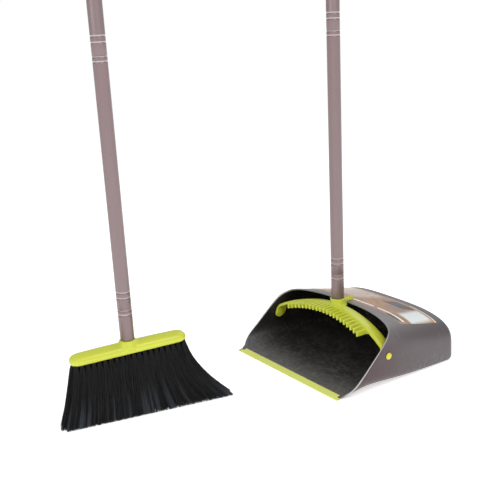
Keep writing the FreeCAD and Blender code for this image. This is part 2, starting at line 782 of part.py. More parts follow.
save("broom_head", turn_broom(make_head()))
for number in range(row_count):
    save("bristle_row_" + str(number + 1), turn_broom(make_row(number)))
save("tuft_anchors", turn_broom(make_anchors()))
handle("broom_", broom_tube_foot, broom_tube_foot, broom_stub_length, broom_section,
       broom_sections, ["stub_tube", "lower_tube", "middle_tube", "upper_tube"],
       0.0, 0.0, turn_broom)
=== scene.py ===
# %% [markdown]
# # Dust pan and broom
#
# This notebook dresses an upright dust pan and its broom.  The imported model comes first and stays
# as it is: it says where every part sits and which parts move together.  Each visible piece is
# then built around it, given a finish, and told which body it rides on.

# %% Load the frame
import math

import bmesh
import bpy
from mathutils import Matrix, Vector


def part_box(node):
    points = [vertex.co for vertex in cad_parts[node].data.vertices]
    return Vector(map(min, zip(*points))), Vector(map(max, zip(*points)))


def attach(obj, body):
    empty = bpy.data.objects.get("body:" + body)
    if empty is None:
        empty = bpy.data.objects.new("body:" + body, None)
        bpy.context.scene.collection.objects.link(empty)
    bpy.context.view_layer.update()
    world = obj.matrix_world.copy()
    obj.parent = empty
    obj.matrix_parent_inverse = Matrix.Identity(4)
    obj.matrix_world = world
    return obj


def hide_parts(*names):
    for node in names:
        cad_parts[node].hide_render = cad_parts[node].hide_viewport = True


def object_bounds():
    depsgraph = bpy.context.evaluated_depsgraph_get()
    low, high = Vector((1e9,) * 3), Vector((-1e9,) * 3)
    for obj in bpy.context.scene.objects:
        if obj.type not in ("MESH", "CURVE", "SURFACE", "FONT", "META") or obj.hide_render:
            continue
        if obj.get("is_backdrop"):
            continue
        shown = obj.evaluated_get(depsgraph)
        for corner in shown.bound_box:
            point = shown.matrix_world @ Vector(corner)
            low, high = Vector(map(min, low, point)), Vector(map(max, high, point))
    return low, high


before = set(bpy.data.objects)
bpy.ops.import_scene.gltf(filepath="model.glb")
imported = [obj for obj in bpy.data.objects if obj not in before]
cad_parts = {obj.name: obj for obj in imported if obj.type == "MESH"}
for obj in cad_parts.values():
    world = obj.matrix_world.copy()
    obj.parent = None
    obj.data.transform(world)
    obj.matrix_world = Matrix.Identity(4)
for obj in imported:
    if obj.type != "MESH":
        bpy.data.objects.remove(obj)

cad_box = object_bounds()
MM = 0.001
print("CAD box", [tuple(round(v, 4) for v in corner) for corner in cad_box])

# %% [markdown]
# ## The camera and the light
#
# A product like this is shot from a low stand, a little above the pan, with a longish lens so that
# the two handles stay nearly parallel.  The camera is placed by its heading, its pitch and a small
# roll.  Wide, soft lamps and a pale surround keep the shadows weak, as on a sweep of white paper.
# The surround lights the set at half strength, and looks fully white where it is seen directly.

# %% Camera
camera_place = Vector((1.1473, -0.9537, 0.6292))
camera_heading = math.radians(56.8)     # turned from looking along +Y towards -X
camera_pitch = math.radians(-15.4)
camera_roll = math.radians(-3.5)
focal_share = 900 / 480                 # focal length over the picture's width

ahead = Vector((-math.sin(camera_heading), math.cos(camera_heading), 0))
level_right = Vector((math.cos(camera_heading), math.sin(camera_heading), 0))
forward = math.cos(camera_pitch) * ahead + math.sin(camera_pitch) * Vector((0, 0, 1))
level_up = level_right.cross(forward)
right = math.cos(camera_roll) * level_right + math.sin(camera_roll) * level_up
up = math.cos(camera_roll) * level_up - math.sin(camera_roll) * level_right

camera = bpy.data.objects.new("camera", bpy.data.cameras.new("camera"))
camera.data.sensor_width = 36.0
camera.data.lens = focal_share * camera.data.sensor_width
camera.data.clip_start = 0.05
axes = Matrix((right, up, -forward)).transposed()
camera.matrix_world = Matrix.Translation(camera_place) @ axes.to_4x4()
bpy.context.scene.collection.objects.link(camera)
bpy.context.scene.camera = camera
bpy.context.scene.view_settings.view_transform = "Standard"
print("lens", round(camera.data.lens, 2), "mm")


# %% Lamps and surround
def soft_lamp(name, place, target, size, watts):
    """A square area lamp that faces a point."""
    data = bpy.data.lights.new(name, "AREA")
    data.size = size
    data.energy = watts
    lamp = bpy.data.objects.new(name, data)
    facing = (Vector(target) - Vector(place)).to_track_quat("-Z", "Y")
    lamp.matrix_world = Matrix.Translation(place) @ facing.to_matrix().to_4x4()
    bpy.context.scene.collection.objects.link(lamp)


soft_lamp("key_lamp", (1.5, -0.2, 1.9), (0, -0.1, 0.1), 1.2, 17)
soft_lamp("front_lamp", (0.4, -2.2, 1.5), (0, -0.1, 0.1), 1.6, 12)
soft_lamp("rear_lamp", (-0.9, 1.6, 1.8), (0, 0, 0.1), 1.4, 9)

surround = bpy.data.worlds.new("surround")
surround.use_nodes = True
sky = surround.node_tree.nodes["Background"]
sky.inputs["Color"].default_value = (1, 1, 1, 1)
seen = surround.node_tree.nodes.new("ShaderNodeLightPath").outputs["Is Camera Ray"]
level = surround.node_tree.nodes.new("ShaderNodeMath")
room_light = 0.5                # what the surround gives to the object
level.operation = "MULTIPLY_ADD"
level.inputs[1].default_value = 1 - room_light
level.inputs[2].default_value = room_light
surround.node_tree.links.new(seen, level.inputs[0])
surround.node_tree.links.new(level.outputs[0], sky.inputs["Strength"])
bpy.context.scene.world = surround

# %% [markdown]
# ## Node helpers
#
# Both materials and Geometry Nodes are graphs.  One short function adds a node, sets its options
# and plugs its inputs, so that a graph reads as a list of steps.  A value that is itself a socket
# becomes a link; anything else becomes the socket's own value.


# %% Adding a node
def add(tree, kind, inputs=None, **options):
    """Adds a node, sets its options, and fills its inputs with values or links."""
    node = tree.nodes.new(kind)
    for key, value in options.items():
        setattr(node, key, value)
    for key, value in (inputs or {}).items():
        if isinstance(value, bpy.types.NodeSocket):
            tree.links.new(value, node.inputs[key])
        else:
            node.inputs[key].default_value = value
    return node


def maths(tree, operation, first, second=0.0, third=0.0):
    """One arithmetic step of a graph."""
    kind = "ShaderNodeMath"
    return add(tree, kind, {0: first, 1: second, 2: third}, operation=operation).outputs[0]


def blend_colours(tree, share, first, second):
    """Goes from the first colour to the second as share goes from 0 to 1."""
    node = add(tree, "ShaderNodeMix", {0: share, 6: first, 7: second}, data_type="RGBA")
    return node.outputs[2]


def ramp(tree, value, low, high):
    """0 below low, 1 above high, smooth between them."""
    node = add(tree, "ShaderNodeMapRange", {0: value, 1: low, 2: high},
               interpolation_type="SMOOTHSTEP")
    return node.outputs[0]


def effect(name, inputs, outputs):
    """A shader node group with named sockets: (tree, what comes in, what goes out)."""
    tree = bpy.data.node_groups.new(name, "ShaderNodeTree")
    for label, kind, value in inputs:
        socket = tree.interface.new_socket(label, in_out="INPUT", socket_type=kind)
        if value is not None:
            socket.default_value = value
    for label, kind in outputs:
        tree.interface.new_socket(label, in_out="OUTPUT", socket_type=kind)
    return tree, tree.nodes.new("NodeGroupInput").outputs, tree.nodes.new("NodeGroupOutput").inputs


# %% [markdown]
# ## Effects that several finishes share
#
# Moulded plastic is never one flat colour: the surface has a fine spark-eroded grain, a slow
# mottle from the flow of the melt, and hair-fine scuffs from use.  Dust gathers low down.  Drawn
# metal tube has streaks along its length.  Each effect is a group that gives out colours and
# masks, and every finish below uses it with its own amounts.

# %% Moulded plastic
tree, given, gives = effect(
    "moulded_plastic",
    [("Colour", "NodeSocketColor", (0.5, 0.5, 0.5, 1)),
     ("Shade", "NodeSocketColor", (0.3, 0.3, 0.3, 1)),
     ("Mottle", "NodeSocketFloat", 0.3), ("Gloss", "NodeSocketFloat", 0.4),
     ("Grain", "NodeSocketFloat", 0.5), ("Scuffs", "NodeSocketFloat", 0.2)],
    [("Colour", "NodeSocketColor"), ("Roughness", "NodeSocketFloat"),
     ("Height", "NodeSocketFloat")])
place = add(tree, "ShaderNodeTexCoord").outputs["Object"]
flow = add(tree, "ShaderNodeTexNoise", {"Vector": place, "Scale": 14.0, "Detail": 3.0}).outputs[0]
grain = add(tree, "ShaderNodeTexNoise",
            {"Vector": place, "Scale": 1500.0, "Detail": 2.0}).outputs[0]
turned = add(tree, "ShaderNodeMapping", {"Vector": place, "Rotation": (0.5, 0.3, 0.9),
                                         "Scale": (30.0, 420.0, 60.0)}).outputs[0]
lines = add(tree, "ShaderNodeTexNoise", {"Vector": turned, "Scale": 1.0, "Detail": 4.0}).outputs[0]
scuff = maths(tree, "MULTIPLY", ramp(tree, lines, 0.63, 0.72), given["Scuffs"])
mottle = maths(tree, "MULTIPLY", ramp(tree, flow, 0.35, 0.7), given["Mottle"])
body = blend_colours(tree, mottle, given["Colour"], given["Shade"])
lighter = blend_colours(tree, scuff, body, (0.75, 0.75, 0.72, 1))
tree.links.new(lighter, gives["Colour"])
rough = maths(tree, "MULTIPLY_ADD", grain, 0.12, given["Gloss"])
tree.links.new(maths(tree, "MULTIPLY_ADD", scuff, 0.5, rough), gives["Roughness"])
tree.links.new(maths(tree, "MULTIPLY", grain, given["Grain"]), gives["Height"])
moulded_plastic = tree

# %% Drawn metal
tree, given, gives = effect(
    "drawn_metal",
    [("Colour", "NodeSocketColor", (0.5, 0.5, 0.5, 1)),
     ("Streak", "NodeSocketColor", (0.3, 0.3, 0.3, 1)),
     ("Gloss", "NodeSocketFloat", 0.35), ("Wear", "NodeSocketFloat", 0.2)],
    [("Colour", "NodeSocketColor"), ("Roughness", "NodeSocketFloat"),
     ("Height", "NodeSocketFloat")])
place = add(tree, "ShaderNodeTexCoord").outputs["Object"]
drawn = add(tree, "ShaderNodeMapping", {"Vector": place, "Scale": (900.0, 900.0, 6.0)}).outputs[0]
streak = add(tree, "ShaderNodeTexNoise", {"Vector": drawn, "Scale": 1.0, "Detail": 3.0}).outputs[0]
cloud = add(tree, "ShaderNodeTexNoise", {"Vector": place, "Scale": 22.0, "Detail": 4.0}).outputs[0]
spots = ramp(tree, add(tree, "ShaderNodeTexNoise",
                       {"Vector": place, "Scale": 260.0, "Detail": 1.0}).outputs[0], 0.68, 0.74)
toned = blend_colours(tree, maths(tree, "MULTIPLY", streak, 0.7), given["Colour"], given["Streak"])
worn = maths(tree, "MULTIPLY", spots, given["Wear"])
tree.links.new(blend_colours(tree, worn, toned, (0.12, 0.10, 0.09, 1)), gives["Colour"])
rough = maths(tree, "MULTIPLY_ADD", streak, 0.16, given["Gloss"])
tree.links.new(maths(tree, "MULTIPLY_ADD", cloud, 0.08, rough), gives["Roughness"])
tree.links.new(streak, gives["Height"])
drawn_metal = tree

# %% Settled dust
tree, given, gives = effect(
    "settled_dust",
    [("Colour", "NodeSocketColor", (0.5, 0.5, 0.5, 1)),
     ("Dust", "NodeSocketColor", (0.45, 0.42, 0.38, 1)),
     ("Top", "NodeSocketFloat", 0.03), ("Amount", "NodeSocketFloat", 0.3)],
    [("Colour", "NodeSocketColor"), ("Mask", "NodeSocketFloat")])
place = add(tree, "ShaderNodeTexCoord").outputs["Object"]
height = add(tree, "ShaderNodeSeparateXYZ", {0: place}).outputs[2]
low = maths(tree, "SUBTRACT", 1.0, maths(tree, "DIVIDE", height, given["Top"]))
low = maths(tree, "MAXIMUM", low, 0.0)
specks = add(tree, "ShaderNodeTexNoise",
             {"Vector": place, "Scale": 190.0, "Detail": 6.0}).outputs[0]
mask = maths(tree, "MULTIPLY", maths(tree, "MULTIPLY", low, ramp(tree, specks, 0.35, 0.75)),
             given["Amount"])
tree.links.new(blend_colours(tree, mask, given["Colour"], given["Dust"]), gives["Colour"])
tree.links.new(mask, gives["Mask"])
settled_dust = tree
print("shared effects", [moulded_plastic.name, drawn_metal.name, settled_dust.name])


# %% [markdown]
# ## Finishes
#
# A finish is a Principled shader fed by those groups.  What is the same all over a surface, such as
# its metal share or its coat, is typed on the shader's own socket.  What changes from place to
# place comes in through a link.


# %% Building a finish
def finish(name, **fixed):
    """A new material: (material, its tree, its shader)."""
    material = bpy.data.materials.new(name)
    material.use_nodes = True
    shader = material.node_tree.nodes["Principled BSDF"]
    for label, value in fixed.items():
        shader.inputs[label.replace("_", " ")].default_value = value
    return material, material.node_tree, shader


def use(tree, group, **amounts):
    """Places a shared effect in a material with its own amounts."""
    node = tree.nodes.new("ShaderNodeGroup")
    node.node_tree = group
    for label, value in amounts.items():
        socket = node.inputs[label.replace("_", " ")]
        if isinstance(value, bpy.types.NodeSocket):
            tree.links.new(value, socket)
        else:
            socket.default_value = value
    return node.outputs


def feed(tree, shader, colour, roughness, height=None, depth=0.00002):
    """Links colour, roughness and a bump height to a shader."""
    tree.links.new(colour, shader.inputs["Base Color"])
    tree.links.new(roughness, shader.inputs["Roughness"])
    if height is not None:
        bump = add(tree, "ShaderNodeBump", {"Height": height, "Strength": 0.5, "Distance": depth})
        tree.links.new(bump.outputs[0], shader.inputs["Normal"])


def read(tree, name):
    """A number stored on the piece's own points."""
    return add(tree, "ShaderNodeAttribute", attribute_name=name).outputs["Fac"]


# %% Lime plastics
def lime_finish(name, colour, shade, gloss):
    """Lime plastic, semi-gloss, with a darker mottle and a little dust low down."""
    material, tree, shader = finish(name, Coat_Weight=0.25, Coat_Roughness=0.25)
    made = use(tree, moulded_plastic, Colour=colour, Shade=shade, Mottle=0.5, Gloss=gloss,
               Grain=0.5, Scuffs=0.10)
    dusty = use(tree, settled_dust, Colour=made["Colour"], Top=0.02, Amount=0.12)
    feed(tree, shader, dusty["Colour"], made["Roughness"], made["Height"])
    return material


lime = lime_finish("lime_plastic", (0.62, 0.67, 0.045, 1), (0.52, 0.56, 0.03, 1), 0.30)
lime_lip = lime_finish("lime_lip", (0.78, 0.83, 0.17, 1), (0.70, 0.76, 0.12, 1), 0.42)
button = lime_finish("button_plastic", (0.78, 0.70, 0.03, 1), (0.62, 0.50, 0.02, 1), 0.25)

# %% Pan finish
# The outside is a satin grey, darkened low down by painted shade and turned reddish at the foot in
# front by a warm painted reflection.  Inside the hollow the same plastic is painted near black as
# shade under the hood, and the floor is painted lighter towards the lip, where that shade ends and
# some dust lies.  The bead round the mouth is paler than both: a painted highlight on its edge.
pan_grey, tree, shader = finish("pan_plastic", Coat_Weight=0.15, Coat_Roughness=0.35)
place = add(tree, "ShaderNodeTexCoord").outputs["Object"]
split = add(tree, "ShaderNodeSeparateXYZ", {0: place}).outputs
# Painted shade and reflection: darker low down, reddish at the foot in front.
side = ramp(tree, split[2], 0.115, 0.060)
foot = blend_colours(tree, ramp(tree, split[1], -0.10, 0.06), (0.060, 0.022, 0.026, 1),
                     (0.095, 0.078, 0.084, 1))
outside = blend_colours(tree, side, (0.24, 0.235, 0.245, 1), foot)
# Painted shade under the hood inside the hollow, lifted towards the lip, where some dust lies.
dust_and_less_shade = ramp(tree, split[1], -0.045, -0.125)
dust_and_less_shade = maths(tree, "MULTIPLY", dust_and_less_shade, ramp(tree, split[2], 0.06, 0.0))
inside = blend_colours(tree, dust_and_less_shade, (0.010, 0.009, 0.008, 1), (0.085, 0.083, 0.088, 1))
both = blend_colours(tree, read(tree, "inside"), outside, inside)
made = use(tree, moulded_plastic, Colour=both, Shade=(0.12, 0.10, 0.10, 1), Mottle=0.12, Gloss=0.36,
           Grain=0.6, Scuffs=0.10)
dusty = use(tree, settled_dust, Colour=made["Colour"], Top=0.03, Amount=0.20)
# Painted highlight: the bead round the mouth is made paler.
rim_highlighted = blend_colours(tree, read(tree, "rim"), dusty["Colour"], (0.50, 0.49, 0.51, 1))
feed(tree, shader, rim_highlighted, made["Roughness"], made["Height"])

# %% Tube finish
# Drawn steel under a warm grey lacquer, with a painted highlight just above each rolled ring.
tube_silver, tree, shader = finish("tube_silver", Metallic=0.55, Coat_Weight=0.2,
                                   Coat_Roughness=0.2)
made = use(tree, drawn_metal, Colour=(0.28, 0.195, 0.20, 1), Streak=(0.21, 0.155, 0.16, 1),
           Gloss=0.30, Wear=0.25)
# Painted highlight: paler colour just above each rolled ring.
ring_lit_colour = blend_colours(tree, read(tree, "ring_highlight"), made["Colour"], (0.58, 0.53, 0.54, 1))
feed(tree, shader, ring_lit_colour, made["Roughness"], made["Height"], 0.00001)

# %% Bristle finish
# Nylon filament is black with a soft shine.  Each strand carries a number from a fine noise along
# its row, so that some get a blue-grey painted highlight towards their tips and a few look brown.
bristle_black, tree, shader = finish("bristle_nylon", Specular_IOR_Level=0.35)
strand = read(tree, "strand")
fall = read(tree, "fall")
# Painted highlight: blue-grey towards the tips of some strands.
tip_highlight = maths(tree, "MULTIPLY", ramp(tree, strand, 0.50, 0.64), ramp(tree, fall, 0.45, 1.0))
warm = maths(tree, "MULTIPLY", ramp(tree, strand, 0.30, 0.0), ramp(tree, fall, 0.2, 0.0))
shade = blend_colours(tree, tip_highlight, (0.006, 0.006, 0.007, 1), (0.055, 0.065, 0.080, 1))
shade = blend_colours(tree, maths(tree, "MULTIPLY", warm, 0.6), shade, (0.035, 0.022, 0.016, 1))
place = add(tree, "ShaderNodeTexCoord").outputs["Object"]
noise = add(tree, "ShaderNodeTexNoise", {"Vector": place, "Scale": 500.0}).outputs[0]
feed(tree, shader, shade, maths(tree, "MULTIPLY_ADD", noise, 0.2, 0.28))

# %% Label finish
# A printed film: wooden planks, a dark shape, pale patches and plain white bars, with no
# lettering.  The pattern follows the label's own UV map: U along the pan's width, V to the back.
label_film, tree, shader = finish("label_print", Coat_Weight=0.15, Coat_Roughness=0.2)
chart = add(tree, "ShaderNodeTexCoord").outputs["UV"]
u, v, _ = add(tree, "ShaderNodeSeparateXYZ", {0: chart}).outputs


def patch(u_low, u_high, v_low, v_high, soft=0.015, slant=0.0):
    """1 inside a patch of the label, 0 outside.  Slant pushes it along U as V grows."""
    along = maths(tree, "MULTIPLY_ADD", v, -slant, u)
    sides = maths(tree, "MULTIPLY", ramp(tree, along, u_low - soft, u_low + soft),
                  ramp(tree, along, u_high + soft, u_high - soft))
    ends = maths(tree, "MULTIPLY", ramp(tree, v, v_low - soft, v_low + soft),
                 ramp(tree, v, v_high + soft, v_high - soft))
    return maths(tree, "MULTIPLY", sides, ends)


slanted = add(tree, "ShaderNodeMapping", {"Vector": chart, "Rotation": (0, 0, 0.5),
                                          "Scale": (2.6, 1.0, 1.0)}).outputs[0]
planks = add(tree, "ShaderNodeTexBrick", {
    "Vector": slanted, "Color1": (0.46, 0.23, 0.10, 1), "Color2": (0.33, 0.15, 0.065, 1),
    "Mortar": (0.12, 0.05, 0.03, 1), "Scale": 3.2, "Mortar Size": 0.008,
    "Brick Width": 1.1, "Row Height": 0.22}).outputs[0]
veins = add(tree, "ShaderNodeTexNoise", {"Vector": add(
    tree, "ShaderNodeMapping", {"Vector": slanted, "Scale": (3.0, 40.0, 1.0)}).outputs[0],
    "Scale": 1.5, "Detail": 4.0}).outputs[0]
pale_wood = (0.62, 0.38, 0.20, 1)
print_colour = blend_colours(tree, maths(tree, "MULTIPLY", veins, 0.5), planks, pale_wood)
for mask, colour in [
        (patch(0.05, 0.40, 0.30, 0.92, 0.05, 0.10), (0.62, 0.50, 0.42, 1)),
        (patch(0.44, 0.66, 0.62, 0.90, 0.02, 0.20), (0.075, 0.065, 0.075, 1)),
        (patch(0.62, 0.80, 0.42, 0.62, 0.04, 0.10), (0.28, 0.22, 0.22, 1)),
        (patch(0.88, 1.02, 0.30, 0.90, 0.03, -0.05), (0.80, 0.86, 0.86, 1)),
        (patch(0.84, 0.97, 0.02, 0.20, 0.02), (0.045, 0.028, 0.022, 1)),
        (patch(0.46, 0.68, 0.10, 0.17, 0.004), (0.88, 0.87, 0.86, 1)),
        (patch(0.72, 0.98, 0.10, 0.17, 0.004), (0.88, 0.87, 0.86, 1)),
        (patch(0.74, 1.00, 0.955, 0.985, 0.004), (0.88, 0.88, 0.88, 1))]:
    print_colour = blend_colours(tree, mask, print_colour, colour)
place = add(tree, "ShaderNodeTexCoord").outputs["Object"]
film = add(tree, "ShaderNodeTexNoise", {"Vector": place, "Scale": 60.0, "Detail": 2.0}).outputs[0]
feed(tree, shader, print_colour, maths(tree, "MULTIPLY_ADD", film, 0.15, 0.22), film, 0.0004)

# %% Floor finish
# White paper.  It gives off a little light of its own, so that it stays even from end to end.
paper, tree, shader = finish("paper_sweep", Roughness=0.9, Emission_Strength=0.55,
                             Emission_Color=(1, 1, 1, 1))
place = add(tree, "ShaderNodeTexCoord").outputs["Object"]
cloud = add(tree, "ShaderNodeTexNoise", {"Vector": place, "Scale": 1.5}).outputs[0]
tree.links.new(blend_colours(tree, cloud, (0.93, 0.93, 0.93, 1), (0.96, 0.96, 0.96, 1)),
               shader.inputs["Base Color"])
print("finishes", len(bpy.data.materials))

# %% [markdown]
# ## Making and placing pieces
#
# Meshes are made from lists of points and faces, in place, in metres, so every object stays at the
# origin.  Three helpers cover most of the set: a grid of points becomes a skin, a profile turned
# about a line becomes a round part, and an outline pulled sideways becomes a plate.


# %% Mesh helpers
def make_piece(name, points, faces, smooth=True):
    """An object from points and faces, with its normals turned outwards."""
    mesh = bpy.data.meshes.new(name)
    mesh.from_pydata([tuple(p) for p in points], [], faces)
    work = bmesh.new()
    work.from_mesh(mesh)
    bmesh.ops.remove_doubles(work, verts=work.verts, dist=1e-6)
    bmesh.ops.recalc_face_normals(work, faces=work.faces)
    work.to_mesh(mesh)
    work.free()
    mesh.polygons.foreach_set("use_smooth", [smooth] * len(mesh.polygons))
    piece = bpy.data.objects.new(name, mesh)
    bpy.context.scene.collection.objects.link(piece)
    return piece


def skin_faces(rows, columns, closed=True):
    """Quads between neighbouring rows of points; closed joins the last column to the first."""
    faces = []
    for row in range(rows - 1):
        for column in range(columns if closed else columns - 1):
            after = (column + 1) % columns
            faces.append((row * columns + column, row * columns + after,
                          (row + 1) * columns + after, (row + 1) * columns + column))
    return faces


def turned_piece(name, profile, place, steps=96):
    """A profile of (radius, height) turned about the local Z axis, then placed by a matrix."""
    points = []
    for radius, height in profile:
        for step in range(steps):
            turn = 2 * math.pi * step / steps
            spot = Vector((radius * math.cos(turn), radius * math.sin(turn), height))
            points.append(place @ spot)
    return make_piece(name, points, skin_faces(len(profile), steps))


# %% Finishing and placing a piece
def soften(piece, width, segments=3, angle=35):
    """Rounds the piece's sharp edges by a small radius and keeps its flats flat."""
    rounding = piece.modifiers.new("rounding", "BEVEL")
    rounding.width = width
    rounding.segments = segments
    rounding.limit_method = "ANGLE"
    rounding.angle_limit = math.radians(angle)
    rounding.harden_normals = True
    return plain(piece)


def plain(piece):
    """Applies a piece's modifiers and leaves a plain mesh."""
    graph = bpy.context.evaluated_depsgraph_get()
    mesh = bpy.data.meshes.new_from_object(piece.evaluated_get(graph))
    piece.modifiers.clear()
    piece.data = mesh
    return piece


def settle(piece, body, slot, material, *nodes):
    """Gives a piece its finish and its body, and hides the CAD nodes that it stands for; slot is
    not used.
    """
    piece.data.materials.clear()
    piece.data.materials.append(material)
    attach(piece, body)
    if nodes:
        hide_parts(*nodes)
    triangles = sum(len(p.vertices) - 2 for p in piece.data.polygons)
    print(f"{piece.name}: {triangles} triangles")
    return piece


def mix(start, end, share):
    """A value between two others."""
    return start + (end - start) * share


def ease(value, low, high):
    """0 at low, 1 at high, smooth between them."""
    share = min(max((value - low) / (high - low), 0.0), 1.0)
    return share * share * (3 - 2 * share)


# %% [markdown]
# ## The pan shell
#
# The real pan is one moulding, 2.5 mm thick: a flat floor that thins to half towards the lip, side
# walls that lean in slightly, and a hood that is boxy in front and rounder behind.  Each slice
# across it is a superellipse in its upper half and a squarer one below, so the whole form follows a
# rule.  The mouth is where each line running along the pan meets a slope at the sides and a sweep
# at the hood.  Building the skin as lines that start on that curve gives a clean rounded rim, which
# cutting a mesh never would.

# %% The pan's form
shell_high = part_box("pan_shell")[1]
lip_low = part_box("front_lip")[0]
mouth_y = lip_low.y
pan_depth = shell_high.y - mouth_y
wall = 2.5 * MM
sole_trim = 1.0 * MM
rear_round = 14.0 * MM
lip_half_width = 147.0 * MM
mouth_half_width = 152.0 * MM
flare_back = 34.0 * MM
rear_half_width = 143.0 * MM
hood_back = 140.0 * MM          # the hood's front edge on the centre line, from the lip
hood_front_height = 98.0 * MM
hood_rear_height = 79.0 * MM
hood_sweep = 26.0 * MM          # how much further forward the hood's corners are
corner_half_width = 137.0 * MM
edge_start = 3.0 * MM           # where the side walls' edge rises from the lip's edge
slope_start = 15.5 * MM         # where it turns up into its slope, at the lip's heel
slope = 0.89
lip_heel = 3.4 * MM
waist_front = 38.0 * MM
waist_rear = 26.0 * MM
foot_round_back = 54.0 * MM     # the foot's edge is softest here
foot_fade = 13.0 * MM           # over this length it goes from tight to soft
thin_from, thin_to = 8.0 * MM, 45.0 * MM
lip_end_from, lip_end_to = 126.0 * MM, 134.0 * MM
pivot_back = 100.6 * MM
lip_edge = 1.2 * MM
lip_depth = 13.0 * MM


# %% The widths, heights and powers of a slice
def half_width(back):
    """Half the pan's width at its waist."""
    if back < flare_back:
        return mix(lip_half_width, mouth_half_width,
                   math.sin(max(back, 0) / flare_back * math.pi / 2))
    return mix(mouth_half_width, rear_half_width,
               (back - flare_back) / (pan_depth - rear_round - flare_back))


def crown(back):
    """Height of the hood on the centre line."""
    return mix(hood_front_height, hood_rear_height,
               (back - hood_back) / (pan_depth - rear_round - hood_back))


def waist(back):
    """Height at which a slice is widest."""
    return mix(waist_front, waist_rear, back / pan_depth)


def hood_power(back):
    """Superellipse power of the hood: boxy in front, rounder behind."""
    share = 1 - (back - pivot_back) / (pan_depth - rear_round - pivot_back)
    return 3.2 + 2.2 * min(max(share, 0.0), 1.0) ** 2


def foot_power(back):
    """Superellipse power of the foot: tight at the lip and at the rear, round between."""
    behind = max(back - foot_round_back, 0.0) / (pan_depth - rear_round - foot_round_back)
    return 4.0 + 10.0 * math.exp(-max(back, 0.0) / foot_fade) + 14.0 * behind ** 1.8


# %% A slice and the mouth
def slice_point(back, turn, inset=0.0, base=-sole_trim):
    """A point of the slice at a distance from the lip; turn runs round it from the +X side."""
    across, rise = math.cos(turn), math.sin(turn)
    upper = rise >= 0
    power = hood_power(back) if upper else foot_power(back)
    length = (abs(across) ** power + abs(rise) ** power) ** (-1 / power)
    height = crown(back) - inset - waist(back) if upper else waist(back) - base
    z = waist(back) + height * length * rise
    return Vector(((half_width(back) - inset) * length * across, mouth_y + back,
                   max(z, 0.0) if base < 0 else z))


def mouth_back(turn):
    """Where the line at this turn starts, measured back from the lip."""
    back = hood_back / 2
    corner_back = hood_back - hood_sweep
    corner_height = lip_heel + slope * (corner_back - slope_start)
    radius = (corner_half_width ** 2 + hood_sweep ** 2) / (2 * hood_sweep)
    soft = 5.0 * MM
    at_heel = slice_point(lip_depth, turn)
    is_low = at_heel.z < waist(0)
    beside_lip = ease(abs(at_heel.x), lip_end_from, lip_end_to) if is_low else 1.0
    for _ in range(60):
        point = slice_point(back, turn)
        low_share = min(max((point.z - lip_edge) / (lip_heel - lip_edge), 0.0), 1.0)
        on_slope = mix(edge_start, slope_start, low_share) + max(point.z - lip_heel, 0.0) / slope
        on_sweep = hood_back - radius + math.sqrt(radius ** 2 - point.x ** 2)
        on_sweep -= 3 * max(corner_height - 4 * MM - point.z, 0.0)
        gap = on_slope - on_sweep
        target = (on_slope + on_sweep + math.sqrt(gap * gap + soft * soft)) / 2
        back += 0.5 * (mix(lip_depth - 0.3 * MM, target, beside_lip) - back)
    return back


# %% The pan's skin
turns = [2 * math.pi * i / 256 for i in range(256)]
long_steps = 56
tail_steps = 10
bead_steps = 7
closing_rings = 8
rear_start = pan_depth - rear_round


def pan_lines(inset, base, starts):
    """Rows of points from the mouth to the back: straight run, rounded tail and flat back."""
    rows = []
    for step in range(long_steps + 1):
        share = step / long_steps
        row = []
        for turn, start in zip(turns, starts):
            back = mix(start, rear_start, share)
            thin = mix(0.5, 1.0, ease(back, thin_from, thin_to))    # the wall thins at the lip
            row.append(slice_point(back, turn, inset * thin, base * thin if base > 0 else base))
        rows.append(row)
    tail = rear_round - inset
    for step in range(1, tail_steps + 1):
        bend = math.pi / 2 * step / tail_steps
        pull = tail * (1 - math.cos(bend))
        shift = tail * math.sin(bend)
        rows.append([slice_point(rear_start, turn, inset + pull, max(base, 0) + pull * 0.5)
                     + Vector((0, shift, 0)) for turn in turns])
    middle = Vector((0, rows[-1][0].y, waist(rear_start)))
    outline = rows[-1]
    for ring in range(1, closing_rings + 1):
        share = 1 - ring / closing_rings
        rows.append([middle + (point - middle) * max(share, 0.001) for point in outline])
    return rows


# %% Joining the outside, the rim and the inside
starts = [mouth_back(turn) for turn in turns]
for _ in range(3):
    starts = [(starts[i - 1] + 2 * start + starts[(i + 1) % len(starts)]) / 4
              for i, start in enumerate(starts)]
outer_rows = pan_lines(0.0, -sole_trim, starts)
inner_rows = pan_lines(wall, wall, starts)
bead_rows = []
for step in range(1, bead_steps):
    bend = math.pi * step / bead_steps
    row = []
    for outer, inner in zip(outer_rows[0], inner_rows[0]):
        half = (outer - inner) / 2
        row.append((outer + inner) / 2 + half * math.cos(bend)
                   + Vector((0, -half.length * math.sin(bend), 0)))
    bead_rows.append(row)
all_rows = list(reversed(outer_rows)) + bead_rows + inner_rows
points = [point for row in all_rows for point in row]
shell = make_piece("pan_shell_skin", points, skin_faces(len(all_rows), len(turns)))
print("rim runs", round(min(starts) / MM, 1), "to", round(max(starts) / MM, 1), "mm behind the lip")

# %% [markdown]
# The finish needs to know which face is inside and where the rim is.  Two numbers stored on the
# points say so: one is 1 all over the inner skin, which gets the painted shade, the other is 1 on
# the bead round the mouth, where a painted highlight goes, and fades out at the lip and under the
# hood's crown.

